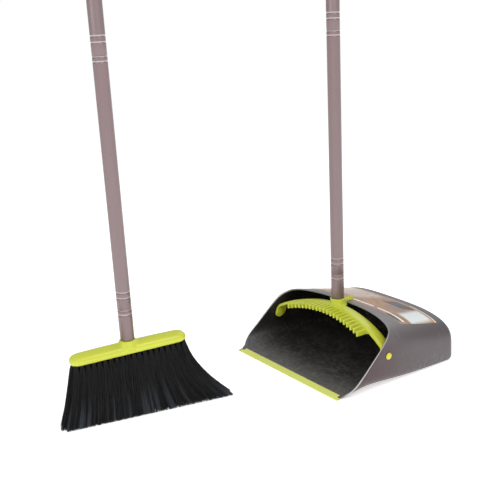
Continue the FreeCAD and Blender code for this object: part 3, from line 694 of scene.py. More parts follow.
# %% Marking the inside and the rim
outer_count = len(outer_rows)
is_inside = []
is_rim = []
for index, row in enumerate(all_rows):
    behind_rim = index - outer_count - len(bead_rows)
    for _ in row:
        is_inside.append(1.0 if behind_rim >= 0 else 0.0)
        bead = outer_count <= index < outer_count + len(bead_rows)
        is_rim.append(1.0 if bead else 0.0)
tree_of_points = {tuple(round(v, 6) for v in p): i for i, p in enumerate(points)}
inside_mark = shell.data.attributes.new("inside", "FLOAT", "POINT")
rim_mark = shell.data.attributes.new("rim", "FLOAT", "POINT")
for vertex in shell.data.vertices:
    index = tree_of_points.get(tuple(round(v, 6) for v in vertex.co), 0)
    inside_mark.data[vertex.index].value = is_inside[index]
    # The rim number places the painted highlight on the bead.
    low_wall = ease(vertex.co.z, 2 * MM, 8 * MM)
    crown_fade = 1 - 0.75 * ease(vertex.co.z, 78 * MM, 92 * MM)
    rim_mark.data[vertex.index].value = is_rim[index] * low_wall * crown_fade
settle(shell, "pan", "pan_grey", pan_grey, "pan_shell")

# %% [markdown]
# ## The lip strip and the label
#
# The lip is a soft wedge moulded over the floor's front edge: thin in front, where it meets the
# ground, and thicker behind.  The label is a film stuck on the hood.  It takes its shape from the
# same slices as the hood, a third of a millimetre further out.


# %% Lip strip
def wall_reach(back, height):
    """Half the width over the side walls, low down beside the lip."""
    share = (waist(back) - height) / (waist(back) + sole_trim)
    power = foot_power(back)
    return half_width(back) * (1 - share ** power) ** (1 / power)


lip_rows = []
lip_columns = 40
lip_end_gap = 2.0 * MM
lip_outline = [(0.25, 0.0), (13.0, 0.0), (13.2, 0.2), (13.2, 3.0), (12.9, 3.35), (12.4, 3.4),
               (9.0, 2.85), (4.0, 1.95), (0.6, 1.25), (0.15, 1.05), (0.0, 0.7), (0.05, 0.25)]
for column in range(lip_columns + 1):
    share = 2 * column / lip_columns - 1
    row = []
    for back, height in lip_outline:
        reach = wall_reach(back * MM, height * MM) - lip_end_gap
        row.append(Vector((share * reach, mouth_y + back * MM, height * MM)))
    lip_rows.append(row)
count = len(lip_outline)
faces = skin_faces(len(lip_rows), count)
faces += [tuple(range(count)), tuple(range(len(lip_rows) * count - count, len(lip_rows) * count))]
lip = make_piece("lip_strip", [p for row in lip_rows for p in row], faces)
settle(lip, "pan", "lip_lime", lime_lip, "front_lip")

# %% Label
label_front, label_rear = 152.0 * MM, 236.0 * MM
label_left, label_right = -118.0 * MM, 124.0 * MM
label_raise = 0.35 * MM


def on_hood(x, back, raised):
    """The point of the hood over a place on the floor, raised off the surface."""
    across = min(abs(x) / half_width(back), 0.999)
    rise = crown(back) - waist(back)
    power = hood_power(back)
    z = waist(back) + rise * (1 - across ** power) ** (1 / power)
    return Vector((x * (1 + raised / half_width(back)), mouth_y + back, z + raised))


label_rows = 28
label_columns = 90
points = []
chart_places = []
for row in range(label_rows + 1):
    for column in range(label_columns + 1):
        x = mix(label_left, label_right, column / label_columns)
        back = mix(label_front, label_rear, row / label_rows)
        border = row in (0, label_rows) or column in (0, label_columns)
        points.append(on_hood(x, back, 0.05 * MM if border else label_raise))
        chart_places.append((column / label_columns, row / label_rows))
label = make_piece("label_film", points, skin_faces(label_rows + 1, label_columns + 1, False))
chart_map = label.data.uv_layers.new(name="print")
for loop in label.data.loops:
    chart_map.data[loop.index].uv = chart_places[loop.vertex_index]
if label.data.polygons[0].normal.z < 0:
    label.data.flip_normals()
settle(label, "pan", "label_film", label_film, "hood_label")

# %% [markdown]
# ## The yoke
#
# The yoke is a flat arch between the two side walls, with a round foot at each pivot.  It leans
# back a little.  A band like this is a sweep: one cross outline carried along an arc.  The outline
# is crowned and has a ridge along its front edge, from which the comb's teeth grow.

# %% The yoke's arc
pivot = Vector((0, mouth_y + pivot_back, 51.5 * MM))
arm_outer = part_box("yoke_arch")[1].x
yoke_width = 21.0 * MM
yoke_thickness = 5.0 * MM
crown_back, crown_height = 119.5 * MM, 98.0 * MM
crown_radius = 295.0 * MM
corner_radius = 15.0 * MM
lean = math.atan((crown_back - pivot_back) / (crown_height - pivot.z))
yoke_rise = (crown_height - pivot.z) / math.cos(lean)
arc_middle = yoke_rise - crown_radius
corner_x = arm_outer - corner_radius
corner_z = arc_middle + math.sqrt((crown_radius - corner_radius) ** 2 - corner_x ** 2)
corner_end = math.atan2(corner_x, corner_z - arc_middle)


# %% The arch as a path
def arch_path():
    """Half the arch from the pivot to the crown: (x, height, outward direction, width share)."""
    stations = []
    foot_steps, arm_steps, corner_steps, crown_steps = 10, 8, 14, 60
    for i in range(foot_steps):
        bend = math.pi / 2 * (1 - i / foot_steps)
        stations.append((arm_outer, -yoke_width / 2 * math.sin(bend), 0.0, math.cos(bend)))
    for i in range(arm_steps):
        stations.append((arm_outer, corner_z * i / arm_steps, 0.0, 1.0))
    for i in range(corner_steps):
        bend = mix(0, math.pi / 2 - corner_end, i / corner_steps)
        stations.append((corner_x + corner_radius * math.cos(bend),
                         corner_z + corner_radius * math.sin(bend), bend, 1.0))
    for i in range(crown_steps + 1):
        away = mix(corner_end, 0, i / crown_steps)
        stations.append((crown_radius * math.sin(away), arc_middle + crown_radius * math.cos(away),
                         math.pi / 2 - away, 1.0))
    return stations


half_arch = arch_path()
full_arch = half_arch + [(-x, z, math.pi - bend, wide) for x, z, bend, wide in half_arch[-2::-1]]


def leaning(x, height, y):
    """A point of the yoke's leaning plane."""
    return Vector((x, pivot.y + height * math.sin(lean) + y, pivot.z + height * math.cos(lean)))


def sweep(name, outline, path):
    """Carries a closed outline of (along Y, outward) along the arch."""
    rows = []
    for x, height, bend, wide in path:
        row = []
        for along, outward in outline:
            row.append(leaning(x + outward * math.cos(bend), height + outward * math.sin(bend),
                               along * max(wide, 0.02)))
        rows.append(row)
    count = len(outline)
    total = len(rows) * count
    faces = skin_faces(len(rows), count) + [tuple(range(count)), tuple(range(total - count, total))]
    return make_piece(name, [p for row in rows for p in row], faces)


# %% Band and web
half_band = yoke_width / 2
band_outline = []
for step in range(15):
    share = step / 14
    along = mix(-half_band + 1.2 * MM, half_band - 1.2 * MM, share)
    ridge = 0.55 * MM * math.exp(-((share - 0.06) / 0.07) ** 2)
    band_outline.append((along, -2.6 * MM * share ** 1.7 + ridge - 0.15 * MM))
band_outline += [(half_band - 0.3 * MM, -3.2 * MM), (half_band, -3.8 * MM),
                 (half_band - 0.2 * MM, -4.7 * MM), (half_band - 0.9 * MM, -yoke_thickness)]
band_outline += [(mix(half_band - 2 * MM, -half_band + 2 * MM, i / 5), -yoke_thickness)
                 for i in range(6)]
band_outline += [(-half_band + 0.9 * MM, -yoke_thickness), (-half_band + 0.2 * MM, -4.7 * MM),
                 (-half_band, -4.0 * MM), (-half_band, -1.2 * MM),
                 (-half_band + 0.35 * MM, -0.4 * MM)]
band = sweep("yoke_band", band_outline, full_arch)
settle(band, "handle", "lime_plastic", lime, "yoke_arch")

tooth_count = 21
tooth_pitch = 9.3 * MM
tooth_width = 3.7 * MM
tooth_height = 8.4 * MM
tooth_reach = 20.5 * MM
tooth_drop = 1.8 * MM
comb_half = (tooth_count - 1) / 2 * tooth_pitch + tooth_width
web_deep = tooth_drop + tooth_height + 0.8 * MM
web_outline = [(-half_band + 0.02 * MM, -1.4 * MM), (-half_band + 0.02 * MM, -web_deep + 0.5 * MM),
               (-half_band + 0.5 * MM, -web_deep), (-half_band + 2.5 * MM, -web_deep),
               (-half_band + 3.0 * MM, -web_deep + 0.5 * MM), (-half_band + 3.4 * MM, -4.0 * MM)]
web_path = [station for station in full_arch if abs(station[0]) <= comb_half]
web = sweep("comb_web", web_outline, web_path)
settle(soften(web, 0.4 * MM), "handle", "lime_plastic", lime)

# %% [markdown]
# ## The comb
#
# Twenty-one equal teeth stand in a row on the arc, all level and straight forward, stepping down
# towards the sides.  One tooth is modelled with a rounded tip and a flared root, so that two
# neighbours leave a U-shaped slot between them.  Geometry Nodes then place the copies: the row's
# rule is in the tree, and a change of pitch or count needs no modelling.


# %% One tooth
def tooth_outline():
    """Half the tooth seen from above: the flared root, the straight side and the round tip."""
    half = tooth_width / 2
    flare = tooth_pitch / 2 - half
    tip = 1.1 * MM
    side = [(tooth_pitch / 2, 3.0 * MM), (tooth_pitch / 2, 0.0)]
    for step in range(1, 7):
        bend = math.pi / 2 * step / 6
        side.append((half + flare * (1 - math.sin(bend)), -flare * (1 - math.cos(bend))))
    for step in range(5):
        bend = math.pi / 2 * step / 4
        side.append((half - tip * (1 - math.cos(bend)), -tooth_reach + tip * (1 - math.sin(bend))))
    return side


side = tooth_outline()
outline = side + [(-x, y) for x, y in reversed(side)]
count = len(outline)
points = [Vector((x, y, z)) for z in (0.0, -tooth_height) for x, y in outline]
faces = [tuple(range(count)), tuple(range(2 * count - 1, count - 1, -1))]
faces += [(i, i + count, (i + 1) % count + count, (i + 1) % count) for i in range(count)]
tooth = soften(make_piece("tooth_pattern", points, faces), 0.35 * MM, 2)
tooth.data.materials.append(lime)


# %% The row of teeth
def new_tree(name, inputs):
    """A Geometry Nodes tree with named inputs: (tree, what comes in)."""
    tree = bpy.data.node_groups.new(name, "GeometryNodeTree")
    tree.interface.new_socket("Geometry", in_out="INPUT", socket_type="NodeSocketGeometry")
    for label, kind in inputs:
        tree.interface.new_socket(label, in_out="INPUT", socket_type=kind)
    tree.interface.new_socket("Geometry", in_out="OUTPUT", socket_type="NodeSocketGeometry")
    return tree, tree.nodes.new("NodeGroupInput").outputs


def grow(name, tree, values):
    """Runs a tree with its inputs set and returns the result as a plain mesh object."""
    carrier = bpy.data.objects.new(name, bpy.data.meshes.new(name))
    bpy.context.scene.collection.objects.link(carrier)
    modifier = carrier.modifiers.new("grown", "NODES")
    modifier.node_group = tree
    for item in tree.interface.items_tree:
        if item.in_out == "INPUT" and item.name in values:
            modifier[item.identifier] = values[item.name]
    return plain(carrier)


# %% The rule of the row
tree, given = new_tree("comb_row", [
    ("Tooth", "NodeSocketObject"), ("Count", "NodeSocketInt"), ("Pitch", "NodeSocketFloat"),
    ("Half Tooth", "NodeSocketFloat"), ("Radius", "NodeSocketFloat"), ("Crown", "NodeSocketFloat"),
    ("Drop", "NodeSocketFloat"), ("Lean", "NodeSocketFloat"), ("Front", "NodeSocketFloat"),
    ("Pivot Height", "NodeSocketFloat"), ("Finish", "NodeSocketMaterial")])
row = add(tree, "GeometryNodePoints", {"Count": given["Count"]}).outputs[0]
index = add(tree, "GeometryNodeInputIndex").outputs[0]
middle = maths(tree, "MULTIPLY", maths(tree, "SUBTRACT", given["Count"], 1.0), 0.5)
x = maths(tree, "MULTIPLY", maths(tree, "SUBTRACT", index, middle), given["Pitch"])
edge = maths(tree, "ADD", maths(tree, "ABSOLUTE", x), given["Half Tooth"])
square = maths(tree, "SUBTRACT", maths(tree, "MULTIPLY", given["Radius"], given["Radius"]),
               maths(tree, "MULTIPLY", edge, edge))
rise = maths(tree, "ADD", maths(tree, "SQRT", square),
             maths(tree, "SUBTRACT", given["Crown"], given["Radius"]))
y = maths(tree, "MULTIPLY_ADD", rise, maths(tree, "SINE", given["Lean"]), given["Front"])
z = maths(tree, "MULTIPLY_ADD", rise, maths(tree, "COSINE", given["Lean"]), given["Pivot Height"])
z = maths(tree, "SUBTRACT", z, given["Drop"])
spot = add(tree, "ShaderNodeCombineXYZ", {0: x, 1: y, 2: z}).outputs[0]
row = add(tree, "GeometryNodeSetPosition", {"Geometry": row, "Position": spot}).outputs[0]
shape = add(tree, "GeometryNodeObjectInfo", {"Object": given["Tooth"]}).outputs["Geometry"]
copies = add(tree, "GeometryNodeInstanceOnPoints", {"Points": row, "Instance": shape}).outputs[0]
real = add(tree, "GeometryNodeRealizeInstances", {0: copies}).outputs[0]
done = add(tree, "GeometryNodeSetMaterial", {"Geometry": real, "Material": given["Finish"]})
tree.links.new(done.outputs[0], tree.nodes.new("NodeGroupOutput").inputs[0])

comb = grow("comb_row", tree, {
    "Tooth": tooth, "Count": tooth_count, "Pitch": tooth_pitch, "Half Tooth": tooth_width / 2,
    "Radius": crown_radius, "Crown": yoke_rise, "Drop": tooth_drop, "Lean": lean,
    "Front": pivot.y - half_band, "Pivot Height": pivot.z, "Finish": lime})
bpy.data.objects.remove(tooth)
settle(comb, "handle", "lime_plastic", lime, "comb_teeth")

# %% [markdown]
# ## The collar, the hook and the pivots
#
# The tube stands in a short collar with a flared foot on the yoke.  Behind it a small hook reaches
# over the hood's edge and keeps the pan closed.  The collar is a turned profile, drawn once; the
# hook is a side view, pulled out to its width and rounded.  The handle leans back by one degree,
# and one matrix carries everything that is drawn upright into that lean.  At each pivot a domed
# button stands outside the wall, a boss fills the gap between wall and arm, and a disc covers
# the pin's inner end.

# %% Where the handles stand
handle_y = mouth_y + 122.5 * MM
collar_top = 108.0 * MM
handle_lean = math.radians(1.0)
tube_radius = 11.0 * MM
stand_pan = (Matrix.Translation((0, handle_y, collar_top)) @ Matrix.Rotation(-handle_lean, 4, "X")
             @ Matrix.Translation((0, 0, -collar_top)))
broom_low, broom_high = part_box("broom_stub_tube")
broom_middle = (broom_low + broom_high) / 2
broom_yaw = math.radians(77.3)
stand_broom = (Matrix.Translation((broom_middle.x, broom_middle.y, 0))
               @ Matrix.Rotation(broom_yaw, 4, "Z"))
print("broom stands at", tuple(round(v, 4) for v in broom_middle[:2]))

# %% Collar and hook
collar_profile = [(11.1, 97.2), (11.1, 107.3), (11.35, 107.9), (11.9, 108.2), (12.6, 108.15),
                  (13.1, 107.8), (13.4, 107.1), (13.4, 106.3), (13.1, 105.6), (13.0, 104.6),
                  (13.0, 102.6), (13.05, 100.4), (13.3, 98.8), (14.0, 97.4), (15.2, 96.2),
                  (16.0, 94.5), (12.5, 93.6), (10.5, 93.4), (10.5, 82.6), (10.1, 82.0),
                  (7.6, 82.0), (7.6, 97.2), (11.1, 97.2)]
collar = turned_piece("collar", [(r * MM, z * MM) for r, z in collar_profile], stand_pan)
settle(collar, "handle", "lime_plastic", lime, "yoke_collar")


# %% Hook
def plate(name, outline, half):
    """A side view of (back from the lip, height) pulled out to both sides of the middle."""
    count = len(outline)
    points = [Vector((x, mouth_y + back * MM, z * MM))
              for x in (-half, half) for back, z in outline]
    faces = [tuple(range(count)), tuple(range(2 * count - 1, count - 1, -1))]
    faces += [(i, i + count, (i + 1) % count + count, (i + 1) % count) for i in range(count)]
    return make_piece(name, points, faces)


hook_outline = [(133.5, 94.5), (138.4, 93.8), (139.2, 94.6), (139.4, 98.8), (148.0, 98.5)]
hook_outline += [(151.0 + 3.1 * math.sin(math.radians(a)), 101.2 - 3.1 * math.cos(math.radians(a)))
                 for a in range(-20, 220, 20)]
hook_outline += [(146.5, 101.9), (143.0, 102.2), (140.5, 103.6), (137.5, 104.4), (136.0, 103.8),
                 (134.5, 104.6), (133.5, 104.6)]
hook = soften(plate("latch_hook", hook_outline, 5 * MM), 0.6 * MM)
settle(hook, "handle", "lime_plastic", lime)

# %% Pivot pins and bosses
pin_low, pin_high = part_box("right_pivot_pin")
dome_height = 2.6 * MM
boss_gap = 0.4 * MM
head_start = pin_high.x - dome_height
head_profile = [(0, 2.6), (1.2, 2.55), (2.4, 2.32), (3.5, 1.92), (4.4, 1.4), (5.1, 0.85),
                (5.55, 0.4), (5.8, 0.1), (5.75, -0.1), (3.5, -0.12)]
for side, name in ((1, "right"), (-1, "left")):
    outward = Matrix.Rotation(math.pi / 2 * side, 4, "Y")
    place = Matrix.Translation((side * head_start, pivot.y, pivot.z)) @ outward
    shaft = [(3.5, -(head_start - pin_low.x) / MM), (0, -(head_start - pin_low.x) / MM)]
    profile = [(r * MM, z * MM) for r, z in head_profile + shaft]
    pin = turned_piece(name + "_pivot_button", profile, place, 48)
    settle(pin, "handle", "lime_plastic", button, name + "_pivot_pin")
    wall_gap = pin_high.x - dome_height - boss_gap - arm_outer
    boss_end = -wall_gap / MM + 0.4
    boss = [(3.55, 0.0), (7.2, 0.0), (7.4, -0.2), (7.5, -1.2), (8.0, -3.0),
            (8.0, boss_end + 0.1), (7.8, boss_end), (3.55, boss_end), (3.55, 0.0)]
    place = Matrix.Translation((side * (arm_outer + wall_gap), pivot.y, pivot.z)) @ outward
    profile = [(r * MM, z * MM) for r, z in boss]
    ring = turned_piece(name + "_pivot_boss", profile, place, 48)
    settle(ring, "pan", "pan_grey", pan_grey)
    cover = [(0, 0.75), (3.0, 0.65), (4.8, 0.3), (5.3, 0.0), (5.3, -0.6), (0, -0.6)]
    place = (Matrix.Translation((side * (arm_outer - yoke_thickness), pivot.y, pivot.z))
             @ Matrix.Rotation(-math.pi / 2 * side, 4, "Y"))
    disc = turned_piece(name + "_foot_disc", [(r * MM, z * MM) for r, z in cover], place, 48)
    settle(disc, "handle", "lime_plastic", lime)

# %% [markdown]
# ## The tubes
#
# Each handle is thin steel tube in screwed sections.  Near every joint the tube is rolled over its
# plastic insert, which leaves shallow rings.  A ring is a dip in the turned profile with a small
# swell on both sides, so that it catches a light line above a dark one.  A number on the points
# says how strongly a painted highlight lightens the colour just above each ring.


# %% Turning a tube
def tube_profile(low, high, rings):
    """Profile of a tube with rolled rings at the given heights, from the bore round to the bore."""
    bore = tube_radius - 0.8 * MM
    dip, swell, reach = 0.7 * MM, 0.12 * MM, 1.2 * MM
    profile = [(bore, high - 0.1 * MM), (bore, low + 0.1 * MM), (bore + 0.2 * MM, low),
               (tube_radius - 0.25 * MM, low), (tube_radius, low + 0.25 * MM)]
    for ring in sorted(rings):
        for step in range(-8, 9):
            share = step / 4
            depth = dip * math.exp(-share * share * 3)
            depth -= swell * math.exp(-(abs(share) - 1.5) ** 2 * 6)
            height = ring + share * reach
            if low + 0.3 * MM < height < high - 0.3 * MM:
                profile.append((tube_radius - depth, height))
    profile += [(tube_radius - 0.1 * MM, high - 0.3 * MM), (tube_radius - 0.4 * MM, high),
                (bore + 0.2 * MM, high), (bore, high - 0.1 * MM)]
    return profile


# %% Dressing the seven tubes
foot_rings = (18.0 * MM, 27.0 * MM)     # above a section's foot
top_rings = (8.5 * MM, 1.4 * MM)        # below its top
# Where the painted highlight sits above each ring, and how wide it is.
highlight_above, highlight_width = 1.2 * MM, 0.8 * MM


def dress_tube(node, stand, tilt, body, is_first, is_last):
    """Replaces one CAD tube by a turned one with its rolled rings."""
    node_low, node_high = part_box(node)
    spread = tube_radius * math.sin(tilt)
    base = collar_top if tilt else 0.0
    low = base + (node_low.z + spread - base) / math.cos(tilt)
    high = base + (node_high.z - spread - base) / math.cos(tilt)
    rings = [] if is_first else [low + above for above in foot_rings]
    rings += [] if is_last else [high - below for below in top_rings]
    tube = turned_piece(node + "_skin", tube_profile(low, high, rings), stand, 64)
    # A number on the points for the painted highlight above each ring.
    ring_highlight = tube.data.attributes.new("ring_highlight", "FLOAT", "POINT")
    back_to_local = stand.inverted()
    for vertex, mark in zip(tube.data.vertices, ring_highlight.data):
        height = (back_to_local @ vertex.co).z
        mark.value = max([math.exp(-((height - ring - highlight_above) / highlight_width) ** 2)
                          for ring in rings] or [0.0])
    settle(tube, body, "handle_tube", tube_silver, node)


pan_tubes = ["pan_stub_tube", "pan_lower_tube", "pan_upper_tube"]
broom_tubes = ["broom_stub_tube", "broom_lower_tube", "broom_middle_tube", "broom_upper_tube"]
for names, stand, tilt, body in ((pan_tubes, stand_pan, handle_lean, "handle"),
                                 (broom_tubes, stand_broom, 0.0, "broom")):
    for number, node in enumerate(names):
        dress_tube(node, stand, tilt, body, number == 0, number == len(names) - 1)

# %% [markdown]
# ## The hanging caps
#
# The cap pushed on each handle's top is round where it grips the tube and flattens into a tab with
# a hole.  A loft does that: each ring of points is a superellipse whose thickness shrinks as it
# rises.  The hole is cut by a Boolean and its edge rounded with all the others.


# %% Lofting a cap
tab_length = 34.0 * MM          # from the tube's end to the cap's top
hole_drop = 12.0 * MM           # from the cap's top to the hole's middle
hole_radius = 4.5 * MM


def dress_cap(node, stand, tilt, body):
    """Replaces a hanging cap."""
    node_low, node_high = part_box(node)
    base = collar_top if tilt else 0.0
    low = base + (node_low.z - base) / math.cos(tilt) + 0.2 * MM * bool(tilt)
    top = base + (node_high.z - base) / math.cos(tilt)
    radius, steps = 12.2 * MM, 64
    tube_end = top - tab_length
    levels = [(low, 0.96, 1.0), (low + 0.6 * MM, 1.0, 1.0), (tube_end - 1 * MM, 1.0, 1.0),
              (tube_end + 3 * MM, 1.0, 1.0), (tube_end + 6 * MM, 1.0, 0.86),
              (tube_end + 9.5 * MM, 1.0, 0.58), (tube_end + 13 * MM, 1.0, 0.42),
              (tube_end + 16 * MM, 1.0, 0.37), (top - radius, 1.0, 0.37)]
    for bend in range(10, 90, 10):
        turn = math.radians(bend)
        levels.append((top - radius * (1 - math.sin(turn)), math.cos(turn), 0.37))
    levels.append((top, 0.10, 0.33))
    points = []
    for height, wide, deep in levels:
        power = mix(2.0, 4.5, ease(1 - deep, 0.05, 0.6))
        for step in range(steps):
            turn = 2 * math.pi * step / steps
            c, s = math.cos(turn), math.sin(turn)
            length = (abs(c) ** power + abs(s) ** power) ** (-1 / power)
            points.append(stand @ Vector((radius * wide * length * c, radius * deep * length * s,
                                          height)))
    faces = skin_faces(len(levels), steps)
    faces += [tuple(range(steps)), tuple(range(len(points) - steps, len(points)))]
    cap = make_piece(node + "_skin", points, faces)
    hole_place = (stand @ Matrix.Translation((0, 0, top - hole_drop))
                  @ Matrix.Rotation(math.pi / 2, 4, "X"))
    punch = turned_piece("punch", [(0.01 * MM, -20 * MM), (hole_radius, -20 * MM),
                                   (hole_radius, 20 * MM), (0.01 * MM, 20 * MM)], hole_place, 48)
    cut = cap.modifiers.new("hole", "BOOLEAN")
    cut.object = punch
    cut.solver = "EXACT"
    plain(cap)
    bpy.data.objects.remove(punch)
    settle(soften(cap, 0.8 * MM, 3, 50), body, "cap_lime", lime, node)


# %% Both caps
dress_cap("pan_hang_cap", stand_pan, handle_lean, "handle")
dress_cap("broom_hang_cap", stand_broom, 0.0, "broom")

# %% [markdown]
# ## The broom head
#
# The head is a plump bar, oval in section, with rounded ends and a flat underside.  It hangs a
# little aslant, and a low upright collar grows out of its top.  Bar and collar are one moulding, so
# they are made as one skin: both shapes are joined, remeshed together at a fine voxel, and smoothed
# where they meet.

# %% The bar
head_half = 93.0 * MM
head_top = 121.0 * MM
head_height = 19.5 * MM
head_tilt = math.radians(2.6)   # the splayed end is higher
head_deep = 15.5 * MM
head_base = head_top - head_height + 3.0 * MM
end_radius = 16.0 * MM
bar_middle = head_top - head_height / 2
straight = head_half - end_radius
stations = [math.sin(math.radians(a)) for a in (90, 84, 76, 66, 54, 42, 30, 15)]
stations = [-straight - end_radius * s for s in stations]
stations += [mix(-straight, straight, i / 36) for i in range(37)]
stations += [-s for s in reversed(stations[:8])]
rows = []
for along in stations:
    over = max(abs(along) - straight, 0.0) / end_radius
    share = math.sqrt(max(1 - over ** 2.4, 0.0)) + 0.004
    share *= 1 - 0.06 * (along / head_half) ** 2
    droop = 0.9 * MM * (along / head_half) ** 2
    row = []
    for step in range(56):
        turn = 2 * math.pi * step / 56
        c, s = math.cos(turn), math.sin(turn)
        length = (abs(c) ** 2.2 + abs(s) ** 2.2) ** (-1 / 2.2)
        z = bar_middle - droop + head_height / 2 * share * length * s
        row.append(Vector((along, head_deep * share * length * c, max(z, head_base))))
    rows.append(row)
points = [p for row in rows for p in row]
faces = skin_faces(len(rows), 56) + [tuple(range(56)), tuple(range(len(points) - 56, len(points)))]
head = make_piece("broom_head_skin", points, faces)
tilt = (Matrix.Translation((0, 0, head_base)) @ Matrix.Rotation(-head_tilt, 4, "Y")
        @ Matrix.Translation((0, 0, -head_base)))
head.data.transform(tilt)

# %% The collar, and one skin for both
collar_shape = [(0.01, 112), (17.8, 112), (17.2, 116.0), (15.6, 119.2), (14.3, 121.4),
                (13.5, 123.0), (13.2, 123.8), (13.2, 124.7), (12.8, 125.1), (0.01, 125.1)]
grown_collar = turned_piece("collar_shape", [(r * MM, z * MM) for r, z in collar_shape],
                            Matrix.Identity(4), 96)
join = head.modifiers.new("join", "BOOLEAN")
join.operation = "UNION"
join.object = grown_collar
join.solver = "EXACT"
even = head.modifiers.new("even", "REMESH")
even.mode = "VOXEL"
even.voxel_size = 1.1 * MM
plain(head)
bpy.data.objects.remove(grown_collar)

# %% Smoothing the head and opening its socket
work = bmesh.new()
work.from_mesh(head.data)
for _ in range(6):
    loose = [v for v in work.verts
             if v.co.z > head_base + v.co.x * math.tan(head_tilt) + 0.6 * MM]
    bmesh.ops.smooth_vert(work, verts=loose, factor=0.5, use_axis_x=True, use_axis_y=True,
                          use_axis_z=True)
work.to_mesh(head.data)
work.free()
socket_punch = turned_piece("socket_punch", [(0.01 * MM, 110 * MM), (11.1 * MM, 110 * MM),
                                             (11.1 * MM, 140 * MM), (0.01 * MM, 140 * MM)],
                            Matrix.Identity(4), 64)
cut = head.modifiers.new("socket", "BOOLEAN")
cut.object = socket_punch
cut.solver = "EXACT"
plain(head)
bpy.data.objects.remove(socket_punch)
head.data.transform(stand_broom)
head.data.polygons.foreach_set("use_smooth", [True] * len(head.data.polygons))
settle(head, "broom", "lime_plastic", lime, "broom_head")

# %% [markdown]
# ## The bristles
#
# Thousands of nylon filaments stand in tufts, four rows of twenty.  Each tuft opens at once until
# it meets its neighbours.  The filaments leave the head straight down and splay towards the floor,
# a little on one side and a long way on the other, where use has combed them out.  Geometry Nodes
# grow one row: a point for each filament, a short curve on each point, then every curve is bent by
# the same rule from its own place in the row.  The random numbers have a fixed seed, so each run
# gives the same broom.

# %% A row of bristles
tree, given = new_tree("bristle_row", [
    ("Tufts", "NodeSocketInt"), ("Filaments", "NodeSocketInt"), ("Row Half", "NodeSocketFloat"),
    ("Tuft Radius", "NodeSocketFloat"), ("Root Height", "NodeSocketFloat"),
    ("Root Slope", "NodeSocketFloat"), ("Stagger", "NodeSocketFloat"),
    ("Opening", "NodeSocketFloat"), ("Across Top", "NodeSocketFloat"),
    ("Across Floor", "NodeSocketFloat"), ("Depth Floor", "NodeSocketFloat"),
    ("Spread Left", "NodeSocketFloat"), ("Spread Right", "NodeSocketFloat"),
    ("Wave", "NodeSocketFloat"), ("Thickness", "NodeSocketFloat"), ("Seed", "NodeSocketInt"),
    ("Finish", "NodeSocketMaterial")])
total = maths(tree, "MULTIPLY", given["Tufts"], given["Filaments"])
seeds = add(tree, "GeometryNodePoints", {"Count": total}).outputs[0]
index = add(tree, "GeometryNodeInputIndex").outputs[0]


def chance(offset):
    """A random number from 0 to 1 for each filament."""
    seed = maths(tree, "ADD", given["Seed"], offset)
    node = add(tree, "FunctionNodeRandomValue", {"ID": index, "Seed": seed}, data_type="FLOAT")
    return node.outputs[1]


tuft = maths(tree, "FLOOR", maths(tree, "DIVIDE", index, given["Filaments"]))
last = maths(tree, "SUBTRACT", given["Tufts"], 1.0)
share = maths(tree, "DIVIDE", maths(tree, "MULTIPLY", tuft, 2.0), last)
share = maths(tree, "SUBTRACT", share, 1.0)
to_sides = maths(tree, "MULTIPLY_ADD", chance(1), 2.0, -1.0)
to_back = maths(tree, "MULTIPLY_ADD", chance(2), 2.0, -1.0)
keep = add(tree, "GeometryNodeCaptureAttribute", {"Geometry": seeds}, domain="POINT")
captured = {"centre": maths(tree, "MULTIPLY", share, given["Row Half"]),
            "beside": maths(tree, "MULTIPLY", to_sides, given["Tuft Radius"]),
            "behind": maths(tree, "MULTIPLY", to_back, given["Tuft Radius"]),
            "depth": maths(tree, "SUBTRACT", chance(3), 0.5), "phase": chance(4),
            "short": chance(5)}
for position, (label, value) in enumerate(captured.items()):
    keep.capture_items.new("FLOAT", label)
    tree.links.new(value, keep.inputs[position + 1])
    captured[label] = keep.outputs[position + 1]

# %% Bending the filaments
line = add(tree, "GeometryNodeCurvePrimitiveLine", {"Start": (0, 0, 0), "End": (0, 0, -0.1)})
line = add(tree, "GeometryNodeResampleCurve", {"Curve": line.outputs[0], "Count": 10}).outputs[0]
copies = add(tree, "GeometryNodeInstanceOnPoints", {"Points": keep.outputs[0], "Instance": line})
real = add(tree, "GeometryNodeRealizeInstances", {0: copies.outputs[0]}).outputs[0]
fall = add(tree, "GeometryNodeSplineParameter").outputs["Factor"]
opened = maths(tree, "MULTIPLY_ADD", maths(tree, "POWER", fall, 0.2), given["Opening"], 1.0)
aside = maths(tree, "MULTIPLY", maths(tree, "MINIMUM", maths(tree, "MULTIPLY", fall, 7.0), 1.0),
              given["Stagger"])
root = maths(tree, "ADD", captured["centre"], captured["beside"])
along = maths(tree, "ADD", captured["centre"], aside)
along = maths(tree, "MULTIPLY_ADD", captured["beside"], opened, along)
share = maths(tree, "DIVIDE", along, given["Row Half"])
to_left = maths(tree, "MAXIMUM", maths(tree, "MULTIPLY", share, -1.0), 0.0)
to_right = maths(tree, "MAXIMUM", share, 0.0)
push_left = maths(tree, "MULTIPLY", maths(tree, "POWER", to_left, 1.5), given["Spread Left"])
push_left = maths(tree, "MULTIPLY", push_left, maths(tree, "POWER", fall, 1.4))
push_right = maths(tree, "MULTIPLY", maths(tree, "POWER", to_right, 1.5), given["Spread Right"])
push_right = maths(tree, "MULTIPLY", push_right, maths(tree, "POWER", fall, 1.75))
swing = maths(tree, "SINE", maths(tree, "MULTIPLY_ADD", captured["phase"], 6.28,
                                  maths(tree, "MULTIPLY", fall, 5.0)))
swing = maths(tree, "MULTIPLY", maths(tree, "MULTIPLY", swing, fall), given["Wave"])
x = maths(tree, "ADD", along, maths(tree, "SUBTRACT", push_right, push_left))
x = maths(tree, "ADD", x, swing)
across = maths(tree, "ADD", captured["behind"], given["Across Top"])
